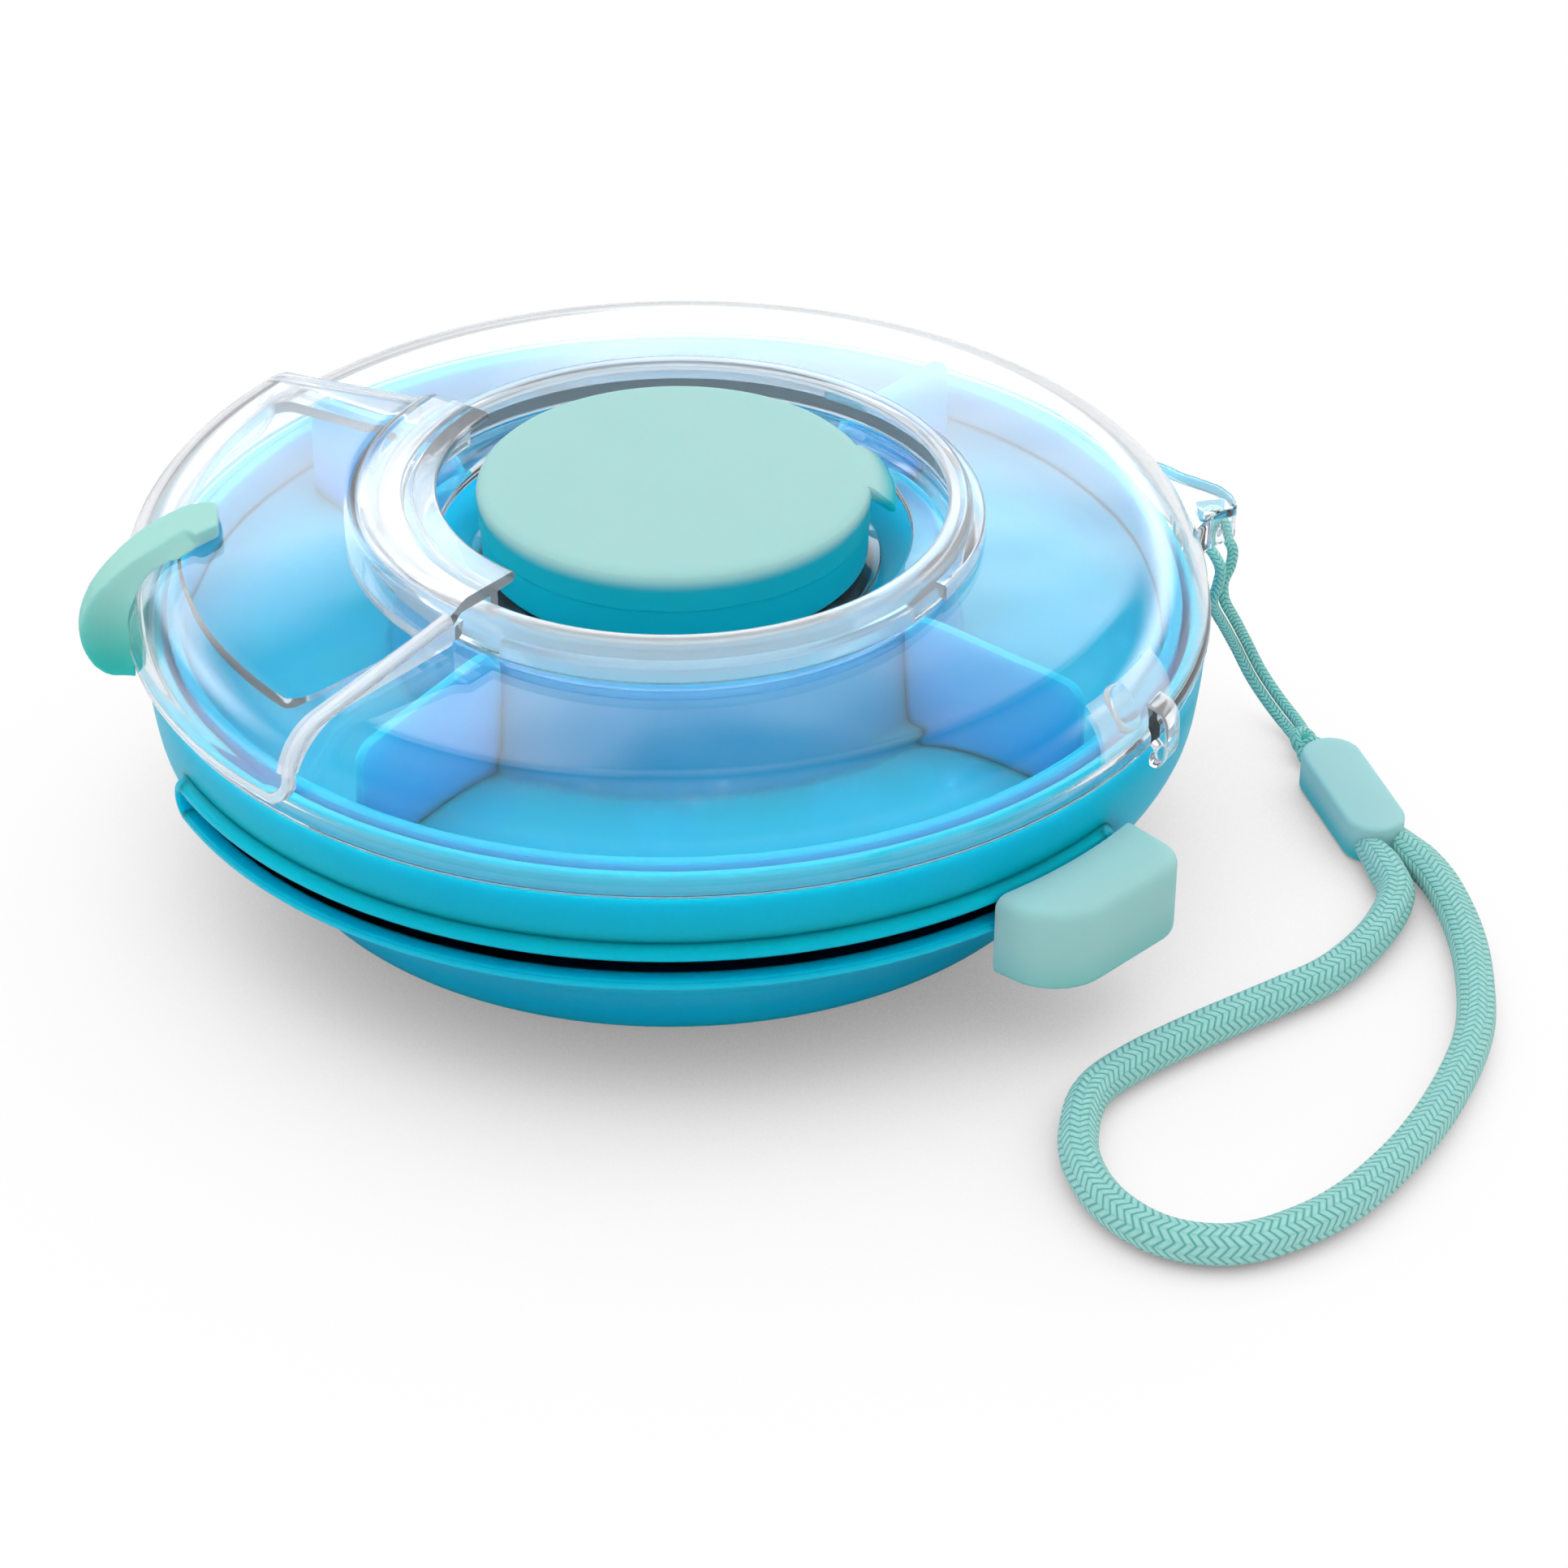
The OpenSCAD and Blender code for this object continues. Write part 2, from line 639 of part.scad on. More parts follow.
module dip_cup() {
    foot = cup_r - 1.6;
    wall = 1.4;
    bottom = well_top + gap;
    push_r = post_r + 3.4;     // push-up in the bottom, over the post's snap barbs
    push_h = 1.9;
    color(clear)
        full_ring([
            [0, bottom + push_h], [push_r - 1, bottom + push_h], [push_r, bottom],
            [foot - 1, bottom], [foot - 0.5, bottom + 0.8],
            [cup_r - 0.7, shelf_z + gap], [cup_r + 2.6, shelf_z + gap],
            [cup_r + 2.8, shelf_z + 0.7], [cup_r + 2.6, shelf_z + 1.3],
            [cup_r - 0.6, shelf_z + 1.5], [cup_r - 0.3, cup_top - 1.6], [cup_r, cup_top - 1.2],
            [cup_r, cup_top - 0.3], [cup_r - 0.3, cup_top], [cup_r - wall, cup_top],
            [foot - 0.5 - wall, bottom + 2.4], [foot - 2 - wall, bottom + 1.4],
            [push_r + 0.9, bottom + 1.4], [push_r - 0.2, bottom + push_h + 1.2],
            [0, bottom + push_h + 1.2]]);
}

module cup_cap() {
    neck = cup_r - 1.6;
    plug = cup_r - 2.1;
    under = cap_z - 2.8;
    color(mint) {
        full_ring([
            [0, cap_z], [cap_r - 2.2, cap_z - 0.1], [cap_r - 0.8, cap_z - 0.5],
            [cap_r - 0.1, cap_z - 1.2], [cap_r, cap_z - 1.8], [cap_r - 0.6, cap_z - 2.6],
            [neck, under], [neck, cup_top + gap], [plug, cup_top + gap],
            [plug, cup_top - 1.6], [plug + 0.25, cup_top - 2], [plug, cup_top - 2.4],
            [plug, cup_top - 4], [plug - 0.7, cup_top - 5.4], [plug - 2.2, cup_top - 5.4],
            [plug - 2.4, under - 1], [plug - 3.4, under], [0, under]]);
        // pull tab, folded down at the edge
        sector(-6, 26, [[cap_r - 2, cap_z - 0.4], [cap_r, cap_z - 0.7], [cap_r + 3.6, cap_z - 3.8],
                        [cap_r + 3.4, cap_z - 4.8], [cap_r + 2.6, cap_z - 4.9],
                        [cap_r - 1, cap_z - 2.4], [cap_r - 2, cap_z - 2.4]]);
    }
}

// ---------------------------------------------------------------- lanyard

module anchor_cord() {
    color(mint)
        tube(thin_pts, [for (p = thin_pts) thin_d / 2], [0.6, 0.8, 0], 8);
}

module anchor_knot() {
    color(mint) {
        translate(knot_at)
            sphere(r = 2.6, $fn = 20);
        translate(knot_end)
            sphere(r = 2.5, $fn = 20);
    }
}

module cord_sleeve() {
    color(mint)
        translate([sleeve_at[0], sleeve_at[1], 0])
            rotate([0, 0, sleeve_dir])
                hull() {
                    translate([0, 0, 1.2])
                        linear_extrude(sleeve_h - 2)
                            polygon(round_box(sleeve_len, sleeve_w, sleeve_w / 2 - 0.1));
                    translate([0, 0, 0.2])
                        linear_extrude(sleeve_h - 0.2)
                            polygon(round_box(sleeve_len - 1.8, sleeve_w - 1.8,
                                              sleeve_w / 2 - 1));
                }
}

module wrist_loop() {
    route = smooth(thick_pts, 2);
    last = len(route) - 1;
    thin_end = 0.6;            // the braid is squeezed where it is held in the sleeve
    color(mint)
        tube(route, [for (i = [0:last])
            thick_d / 2 * min(1, thin_end + 0.135 * min(i, last - i))], [0, 0, 1], 12);
}

base_shell();
compartment_tray();
tray_hub();
cup_socket();
drive_plate();
lever_grip();
lid_dome();
door_panel();
door_tab();
dip_cup();
cup_cap();
anchor_cord();
anchor_knot();
cord_sleeve();
wrist_loop();
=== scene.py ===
"""Looks of the toddler snack container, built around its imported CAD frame.

Sizes are millimetres until MM turns them into Blender's metres. Azimuths are degrees
counter-clockwise from +X, seen from above, and the front is at 270.
"""
import math

import bmesh
import bpy
from mathutils import Matrix, Vector


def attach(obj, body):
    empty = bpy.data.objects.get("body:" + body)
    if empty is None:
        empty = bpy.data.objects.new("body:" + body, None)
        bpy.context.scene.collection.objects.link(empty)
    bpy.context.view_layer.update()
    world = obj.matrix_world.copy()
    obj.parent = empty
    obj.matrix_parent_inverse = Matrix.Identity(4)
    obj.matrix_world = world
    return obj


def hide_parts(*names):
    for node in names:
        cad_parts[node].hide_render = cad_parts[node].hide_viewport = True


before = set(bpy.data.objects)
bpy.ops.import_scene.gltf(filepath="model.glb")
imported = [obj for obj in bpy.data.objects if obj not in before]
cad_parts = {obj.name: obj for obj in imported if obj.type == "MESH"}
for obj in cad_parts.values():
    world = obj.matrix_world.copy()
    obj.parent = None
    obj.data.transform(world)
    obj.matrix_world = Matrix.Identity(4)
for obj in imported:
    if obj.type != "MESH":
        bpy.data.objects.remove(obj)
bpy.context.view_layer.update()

MM = 0.001
scene = bpy.context.scene
AXIS = (0.0, 0.0, 1.0)
CENTRE = (0.0, 0.0, 0.0)

# Sizes that several pieces share, as in the CAD source
TUB_R = 82.4                            # the tub's rim
SLOT = (206.0, 323.0)                   # azimuths from which and to which the slot runs
SLOT_Z = (22.0, 25.2)                   # its lower and upper edge
DOME_Z = 49.3                           # the lid's flat top
LID_WALL = 1.8
LID_SKIRT = 35.5                        # the lid's lower edge
DIVIDERS = (54.0, 144.0, 234.0, 324.0)  # azimuths of the tray's dividers
DOOR_FROM, DOOR_SPAN = 145.0, 86.0      # azimuth of the door's back end, and its angle
DOOR_LOW = 38.3                         # the door's foot
DOOR_ARC = (76.0, 42.6, 8.8)            # its shoulder: centre's radius and height, radius
CORNER_R = 7.4                          # rounding of its two lower corners
CORNER_IN, CORNER_DEG = 6.9, 4.66       # how far in its centre lies, and the same as an angle
DOOR_RIM = 0.8                          # depth of the rim's middle, half of the door's wall


# ------------------------------------------------------------------ materials

def linear(hex_code, alpha=1.0):
    """An sRGB hex colour as Blender's linear colour."""
    channels = [int(hex_code[i:i + 2], 16) / 255 for i in (1, 3, 5)]
    return tuple(c / 12.92 if c <= 0.04045 else ((c + 0.055) / 1.055) ** 2.4
                 for c in channels) + (alpha,)


def add(tree, kind, sockets=None, links=None, **settings):
    """Adds a node with its settings, its socket values and its links from (node, output)."""
    made = tree.nodes.new(kind)
    for name, value in settings.items():
        setattr(made, name, value)
    for name, value in (sockets or {}).items():
        made.inputs[name].default_value = value
    for name, (source, output) in (links or {}).items():
        tree.links.new(source.outputs[output], made.inputs[name])
    return made


def maths(tree, operation, *terms, **settings):
    """A maths node on numbers and (node, output) pairs, given back as such a pair."""
    values = {k: term for k, term in enumerate(terms) if not isinstance(term, tuple)}
    links = {k: term for k, term in enumerate(terms) if isinstance(term, tuple)}
    return add(tree, "ShaderNodeMath", values, links, operation=operation, **settings), "Value"


def graded(tree, source, start, stop, low=0.0, high=1.0, curve="SMOOTHSTEP"):
    """Carries a (node, output) value from one range into another, and gives such a pair."""
    ranges = {"From Min": start, "From Max": stop, "To Min": low, "To Max": high}
    return add(tree, "ShaderNodeMapRange", ranges, {"Value": source},
               interpolation_type=curve), "Result"


def new_material(name):
    """An empty material, its tree and its output node."""
    material = bpy.data.materials.new(name)
    material.use_nodes = True
    tree = material.node_tree
    tree.nodes.clear()
    return material, tree, add(tree, "ShaderNodeOutputMaterial")


def ramp(tree, source, stops):
    """A colour ramp of (position, colour) stops on a (node, output) value, given as a pair."""
    made = add(tree, "ShaderNodeValToRGB", links={"Fac": source})
    elements = made.color_ramp.elements
    while len(elements) < len(stops):
        elements.new(0.5)
    for element, (place, colour) in zip(elements, stops):
        element.position = place
        element.color = colour
    return made, "Color"


def moulded_polypropylene(name, light, deep, roughness):
    """Polypropylene, injection moulded and coloured through: satin gloss, a little light
    goes in and comes back out, faint flow clouding a few centimetres across."""
    material, tree, output = new_material(name)
    place = add(tree, "ShaderNodeTexCoord")
    flow = add(tree, "ShaderNodeTexNoise", {"Scale": 28.0, "Detail": 2.0},
               {"Vector": (place, "Object")})
    colour = ramp(tree, (flow, "Fac"), [(0.3, linear(deep)), (0.7, linear(light))])
    # spark-eroded mould texture of 0.5 mm, drawn coarser than real so that it shows
    grain = add(tree, "ShaderNodeTexNoise", {"Scale": 2000.0, "Detail": 1.0},
                {"Vector": (place, "Object")})
    bump = add(tree, "ShaderNodeBump", {"Strength": 0.04, "Distance": 0.0001},
               {"Height": (grain, "Fac")})
    skin = add(tree, "ShaderNodeBsdfPrincipled",
               {"Roughness": roughness, "IOR": 1.49, "Specular IOR Level": 0.1,
                "Subsurface Weight": 0.8, "Subsurface Radius": (0.1, 0.7, 1.0),
                "Subsurface Scale": 0.01},
               {"Base Color": colour, "Normal": (bump, "Normal")})
    tree.links.new(skin.outputs["BSDF"], output.inputs["Surface"])
    return material


def clear_copolyester(name, edge, haze):
    """Copolyester, moulded clear in a polished tool: sharp reflections. Its haze takes about a
    hundredth of the light at each thin wall, as a pale veil, and more in thick, milky edges,
    whose paleness is partly a painted highlight.
    At grazing angles the wall is painted darker and bluer: partly for the longer way that light
    takes through it, and partly as painted shade for the dark edge lines that refraction gives."""
    material, tree, output = new_material(name)
    facing = add(tree, "ShaderNodeLayerWeight", {"Blend": 0.3})
    # partly painted shade: the colour darkens towards the edge colour as the wall turns away
    colour = ramp(tree, (facing, "Facing"),
                  [(0.0, linear("#FBFDFF")), (0.75, linear("#F1F6FB")), (1.0, linear(edge))])
    place = add(tree, "ShaderNodeTexCoord")
    # slow waves a centimetre apart, where the melt front ran
    waves = add(tree, "ShaderNodeTexNoise", {"Scale": 60.0, "Detail": 0.0},
                {"Vector": (place, "Object")})
    bump = add(tree, "ShaderNodeBump", {"Strength": 0.12, "Distance": 0.0004},
               {"Height": (waves, "Fac")})
    wall = add(tree, "ShaderNodeBsdfPrincipled",
               {"Roughness": 0.03, "IOR": 1.5, "Transmission Weight": 1.0 - haze},
               {"Base Color": colour, "Normal": (bump, "Normal")})
    tree.links.new(wall.outputs["BSDF"], output.inputs["Surface"])
    return material


def soft_elastomer(name, light, deep, shaded_below_mm, lit_above_mm, roughness, grain_mm):
    """Thermoplastic elastomer or silicone, moulded against a blasted tool: matt, with a fine
    even grain. Its colour is painted by height: pale higher up, where light strikes it, and
    a deeper green low down, which is painted shade."""
    material, tree, output = new_material(name)
    place = add(tree, "ShaderNodeTexCoord")
    cloud = add(tree, "ShaderNodeTexNoise", {"Scale": 70.0, "Detail": 2.0},
                {"Vector": (place, "Object")})
    axes = add(tree, "ShaderNodeSeparateXYZ", links={"Vector": (place, "Object")})
    height = graded(tree, (axes, "Z"), shaded_below_mm * MM, lit_above_mm * MM)
    faint = maths(tree, "MULTIPLY", (cloud, "Fac"), 0.06)
    lit_share = maths(tree, "SUBTRACT", height, faint, use_clamp=True)
    # painted shade: the deep colour low down, turning to the pale lit colour higher up
    colour = ramp(tree, lit_share, [(0.0, linear(deep)), (1.0, linear(light))])
    grain = add(tree, "ShaderNodeTexNoise", {"Scale": 1000.0 / grain_mm, "Detail": 1.0},
                {"Vector": (place, "Object")})
    bump = add(tree, "ShaderNodeBump", {"Strength": 0.08, "Distance": 0.0001},
               {"Height": (grain, "Fac")})
    skin = add(tree, "ShaderNodeBsdfPrincipled",
               {"Roughness": roughness, "IOR": 1.43, "Specular IOR Level": 0.3,
                "Subsurface Weight": 0.35, "Subsurface Radius": (0.25, 0.9, 0.9),
                "Subsurface Scale": 0.005},
               {"Base Color": colour, "Normal": (bump, "Normal")})
    tree.links.new(skin.outputs["BSDF"], output.inputs["Surface"])
    return material


def braided_polyester(name, light, deep, columns, pitch_mm):
    """Polyester yarn braided two over, two under: columns of slanted stitches, each column
    leaning against the next. U runs round the cord and V along it, in millimetres."""
    material, tree, output = new_material(name)
    uv = add(tree, "ShaderNodeUVMap", uv_map="along")
    axes = add(tree, "ShaderNodeSeparateXYZ", links={"Vector": (uv, "UV")})
    lean = maths(tree, "PINGPONG", maths(tree, "MULTIPLY", (axes, "X"), float(columns)), 1.0)
    along = maths(tree, "MULTIPLY", (axes, "Y"), 1.0 / pitch_mm)
    phase = maths(tree, "ADD", along, maths(tree, "MULTIPLY", lean, 0.9))
    crown = graded(tree, maths(tree, "PINGPONG", phase, 0.5), 0.0, 0.28)
    # the groove between two columns, where the yarn dives under
    groove = maths(tree, "ABSOLUTE", maths(tree, "SUBTRACT", lean, 0.5))
    valley = graded(tree, groove, 0.5, 0.3, 0.45, 1.0, "LINEAR")
    height = maths(tree, "MULTIPLY", crown, valley)
    # painted shade: the yarn is coloured darker where it lies lower, in the grooves between
    # columns and between the stitches
    colour = ramp(tree, height,
                  [(0.0, linear(deep)), (0.45, linear(light)), (1.0, linear(light))])
    bump = add(tree, "ShaderNodeBump", {"Strength": 0.7, "Distance": 0.0004},
               {"Height": height})
    yarn = add(tree, "ShaderNodeBsdfPrincipled",
               {"Roughness": 0.62, "IOR": 1.5, "Sheen Weight": 0.25, "Sheen Roughness": 0.4},
               {"Base Color": colour, "Normal": (bump, "Normal")})
    tree.links.new(yarn.outputs["BSDF"], output.inputs["Surface"])
    return material


tub_plastic = moulded_polypropylene("tub_polypropylene", "#00B8E2", "#00B1DC", 0.3)
tray_plastic = moulded_polypropylene("tray_polypropylene", "#00A6D0", "#009FCA", 0.35)
clear_plastic = clear_copolyester("lid_copolyester", "#7C97AE", 0.012)
# the same copolyester, hazier and paler, for thick edges: partly their own haze, partly a
# painted highlight for the bright reflections along them
milky_highlit_plastic = clear_copolyester("edge_copolyester", "#B4C2D0", 0.3)
hazy_plastic = clear_copolyester("collar_copolyester", "#A4B6C8", 0.1)
# each piece is painted in its deep colour as shade below the first height, and in its lit colour
# above the second, in millimetres
grip_rubber = soft_elastomer("grip_elastomer", "#A0D0CE", "#82C6C2", 11, 20, 0.5, 0.5)
sleeve_rubber = soft_elastomer("sleeve_elastomer", "#A5D3D4", "#46BCC6", 1.0, 5.6, 0.5, 0.5)
tab_rubber = soft_elastomer("tab_elastomer", "#A9DED6", "#34B9AE", 34, 53, 0.5, 0.5)
cap_silicone = soft_elastomer("cap_silicone_rubber", "#AAD8D5", "#00B4C4", 53.4, 56.2, 0.55,
                              0.6)
loop_braid = braided_polyester("loop_braid", "#A0DDD7", "#48B2AC", 12, 1.3)
cord_braid = braided_polyester("cord_braid", "#96E0D8", "#3FB4AD", 6, 0.9)


# ------------------------------------------------------------------ shaping tools

def put(name, data):
    """Places a mesh, a lamp or a camera in the scene."""
    placed = bpy.data.objects.new(name, data)
    scene.collection.objects.link(placed)
    return placed


def as_mesh(name, bm):
    """Turns the working mesh bm into mesh data, and frees it."""
    mesh = bpy.data.meshes.new(name)
    bm.to_mesh(mesh)
    bm.free()
    return mesh


def worked_out(blank):
    """The form of an object once its modifiers have acted."""
    graph = bpy.context.evaluated_depsgraph_get()
    result = bmesh.new()
    result.from_mesh(blank.evaluated_get(graph).to_mesh())
    return result


def discard(*spares):
    """Takes objects and their meshes out again."""
    for spare in spares:
        mesh = spare.data
        bpy.data.objects.remove(spare)
        bpy.data.meshes.remove(mesh)


def rotate(bm, degrees, axis="Z"):
    """Turns a form about an axis through the origin."""
    bmesh.ops.rotate(bm, verts=bm.verts, cent=CENTRE,
                     matrix=Matrix.Rotation(math.radians(degrees), 3, axis))


def thicken(bm, vec):
    """Grows a flat face along a vector into a block."""
    grown = bmesh.ops.extrude_face_region(bm, geom=bm.faces[:])
    bmesh.ops.translate(bm, vec=vec, verts=[
        v for v in grown["geom"] if isinstance(v, bmesh.types.BMVert)])


def face_outward(bm):
    """Merges doubles and turns the faces of one closed form outwards."""
    bmesh.ops.remove_doubles(bm, verts=bm.verts, dist=0.0005 * MM)
    bmesh.ops.recalc_face_normals(bm, faces=bm.faces)
    if bm.calc_volume(signed=True) < 0:
        bmesh.ops.reverse_faces(bm, faces=bm.faces)
    return bm


def finish_piece(name, bm, material, body, replaced=(), sharp=32.0):
    """Makes a closed mesh an object that rides on a body, with the given material, and hides the
    CAD parts it replaces.
    """
    mesh = as_mesh(name, bm)
    mesh.polygons.foreach_set("use_smooth", [True] * len(mesh.polygons))
    mesh.set_sharp_from_angle(angle=math.radians(sharp))
    mesh.materials.append(material)
    piece = put(name, mesh)
    # the clear walls let the lamps' light through as if they were open
    piece.visible_shadow = material not in (clear_plastic, milky_highlit_plastic)
    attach(piece, body)
    if replaced:
        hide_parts(*replaced)
    return piece


def bend(centre_x, centre_z, radius, start, stop, steps):
    """Unrounded outline corners along an arc."""
    angles = [math.radians(start + (stop - start) * i / steps) for i in range(steps + 1)]
    return [(centre_x + radius * math.cos(a), centre_z + radius * math.sin(a), 0)
            for a in angles]


def rounded_face(points):
    """A flat face in the XZ plane from (x, z, rounding) corners in millimetres."""
    bm = bmesh.new()
    corners = [bm.verts.new((x * MM, 0, z * MM)) for x, z, _ in points]
    bm.faces.new(corners)
    for radius in sorted({p[2] for p in points if p[2] > 0}):
        bmesh.ops.bevel(bm, geom=[v for v, p in zip(corners, points) if p[2] == radius],
                        offset=radius * MM, offset_type="OFFSET", affect="VERTICES",
                        segments=3 if radius < 1.5 else 6 if radius < 5 else 14,
                        profile=0.5, material=-1)
    return bm


def turned(points, start=0.0, span=360.0, step=2.5):
    """The outline turned about the object's axis, from one azimuth through an angle."""
    bm = rounded_face(points)
    bmesh.ops.delete(bm, geom=bm.faces[:], context="FACES_ONLY")
    on_axis = [e for e in bm.edges if all(abs(v.co.x) < 1e-7 for v in e.verts)]
    bmesh.ops.delete(bm, geom=on_axis, context="EDGES")
    rotate(bm, start)
    whole = span >= 360.0
    bmesh.ops.spin(bm, geom=bm.verts[:] + bm.edges[:], cent=CENTRE, axis=AXIS,
                   angle=math.radians(span), steps=max(2, round(span / step)),
                   use_merge=whole, use_duplicate=False)
    if not whole:
        ends = [e for e in bm.edges if e.is_boundary]
        bmesh.ops.holes_fill(bm, edges=ends, sides=0)
    return face_outward(bm)


def slab(points, thick, azimuth):
    """The outline in the radial plane at an azimuth, given a thickness across it."""
    bm = rounded_face(points)
    bmesh.ops.translate(bm, verts=bm.verts, vec=(0, -thick / 2 * MM, 0))
    thicken(bm, (0, thick * MM, 0))
    rotate(bm, azimuth)
    return face_outward(bm)


def plate(points, low, high):
    """A flat outline of (x, y, rounding) corners, raised from one height to another."""
    bm = rounded_face(points)
    rotate(bm, -90, "X")
    bmesh.ops.translate(bm, verts=bm.verts, vec=(0, 0, low * MM))
    thicken(bm, (0, 0, (high - low) * MM))
    return face_outward(bm)


def soften(bm, radius, segments=3, least=40.0):
    """Rounds every edge where the surface turns by more than the least angle."""
    edges = [e for e in bm.edges if e.is_manifold
             and math.degrees(e.calc_face_angle(0)) > least]
    bmesh.ops.bevel(bm, geom=edges, offset=radius * MM, offset_type="OFFSET", affect="EDGES",
                    segments=segments, profile=0.5, material=-1, clamp_overlap=True)
    return bm


def joined(*parts):
    """Several closed meshes in one."""
    whole = bmesh.new()
    for part in parts:
        spare = as_mesh("spare", part)
        whole.from_mesh(spare)
        bpy.data.meshes.remove(spare)
    return whole


def carved(bm, operation, *others):
    """bm with the others joined to it (UNION), cut from it (DIFFERENCE), or kept only where
    it lies within them (INTERSECT)."""
    blank, *tools = [put("blank", as_mesh("blank", part)) for part in (bm, *others)]
    for tool in tools:
        cut = blank.modifiers.new("cut", "BOOLEAN")
        cut.operation = operation
        cut.solver = "EXACT"
        cut.object = tool
    result = worked_out(blank)
    discard(blank, *tools)
    return result


def melted(bm, voxel, rounds):
    """The same form with every edge softly rounded."""
    blank = put("blank", as_mesh("blank", bm))
    even = blank.modifiers.new("even", "REMESH")
    even.mode = "VOXEL"
    even.voxel_size = voxel * MM
    soft = blank.modifiers.new("soft", "SMOOTH")
    soft.factor = 0.5
    soft.iterations = rounds
    result = worked_out(blank)
    discard(blank)
    return face_outward(result)


def refinish(piece, material, chosen):
    """Gives another material to the faces that are chosen by their centre's reach from the
    axis, azimuth and height, and their normal."""
    piece.data.materials.append(material)
    for face in piece.data.polygons:
        x, y, z = face.center / MM
        around = math.degrees(math.atan2(y, x)) % 360
        if chosen(math.hypot(x, y), around, z, face.normal):
            face.material_index = 1


# ------------------------------------------------------------------ camera and light

def place_camera():
    """The photograph's viewpoint: a long lens from the front, looking down by a third of a
    right angle. The picture is square, and the lens is worked out for its 1932 pixels."""
    pitch = math.radians(33.34)
    distance = 0.6521
    aim_x, aim_z = 0.0168, 0.0003
    lens_px, picture_px = 5000.0, 1932.0
    data = bpy.data.cameras.new("photo_view")
    data.sensor_width = 36.0
    data.lens = lens_px / picture_px * data.sensor_width
    data.clip_start = 0.01
    camera = put("photo_view", data)
    camera.location = (aim_x, -distance * math.cos(pitch), aim_z + distance * math.sin(pitch))
    camera.rotation_euler = (math.radians(90) - pitch, 0, 0)
    scene.camera = camera


def light_studio():
    """A plain white studio: an even sky, whose light comes from a dome lamp and the world,
    and a broad lamp overhead."""
    world = bpy.data.worlds.new("studio")
    scene.world = world
    world.use_nodes = True
    tree = world.node_tree
    tree.nodes.clear()
    place = add(tree, "ShaderNodeTexCoord")
    axes = add(tree, "ShaderNodeSeparateXYZ", links={"Vector": (place, "Generated")})
    x, y, z = ((axes, name) for name in "XYZ")
    path = add(tree, "ShaderNodeLightPath")
    glossy, clear = (path, "Is Glossy Ray"), (path, "Is Transmission Ray")

    # matt faces see an even sky. Gloss, and the inner faces of the clear walls, mirror a
    # window low behind the object, a soft ceiling and a dim room in front
    sky_light, window_light = 0.5, 4.6
    sill, lintel = (0.24, 0.4), (0.552, 0.44)
    # over the door, on the left, the window reaches higher but is paler
    raised_by, paled_by = 0.06, 7.0
    left = graded(tree, x, -0.03, -0.08, 0.0, raised_by)
    window = graded(tree, maths(tree, "SUBTRACT", z, left), *lintel, 0.0, window_light, "LINEAR")
    for share in (maths(tree, "MULTIPLY_ADD", left, -paled_by, 1.0),
                  graded(tree, z, *sill, 0.16, 1.0), graded(tree, y, -0.1, 0.5, 0.05, 1.0)):
        window = maths(tree, "MULTIPLY", window, share)
    ceiling, front = graded(tree, z, 0.57, 0.8), graded(tree, y, 0.1, -0.4)
    # gloss shows little of the room, and the inner faces of the clear walls more
    room = maths(tree, "MULTIPLY", maths(tree, "MAXIMUM", ceiling, front),
                 graded(tree, clear, 0.0, 1.0, 0.12, 0.6, "LINEAR"))
    mirrored = maths(tree, "MAXIMUM", glossy, clear)
    unspread = maths(tree, "LESS_THAN", (path, "Diffuse Depth"), 0.5)
    strength = add(tree, "ShaderNodeMix", {"A": sky_light},
                   {"Factor": maths(tree, "MULTIPLY", mirrored, unspread),
                    "B": maths(tree, "ADD", window, room)})
    sky = add(tree, "ShaderNodeBackground", {"Color": (1, 1, 1, 1)},
              {"Strength": (strength, "Result")})
    output = add(tree, "ShaderNodeOutputWorld")
    tree.links.new(sky.outputs["Background"], output.inputs["Surface"])

    for name, energy, angle, towards in (("sky_dome", 1.15, 165, (0.0, 0.5, -0.87)),
                                         ("overhead_sun", 0.75, 46, (0.06, -0.25, -0.965))):
        lamp = bpy.data.lights.new(name, "SUN")
        lamp.energy = energy
        lamp.angle = math.radians(angle)
        # so that none of it is lost at the clear walls
        lamp.cycles.use_multiple_importance_sampling = False
        hung = put(name, lamp)
        hung.rotation_euler = Vector(towards).to_track_quat("-Z", "Y").to_euler()
        hung.visible_glossy = False


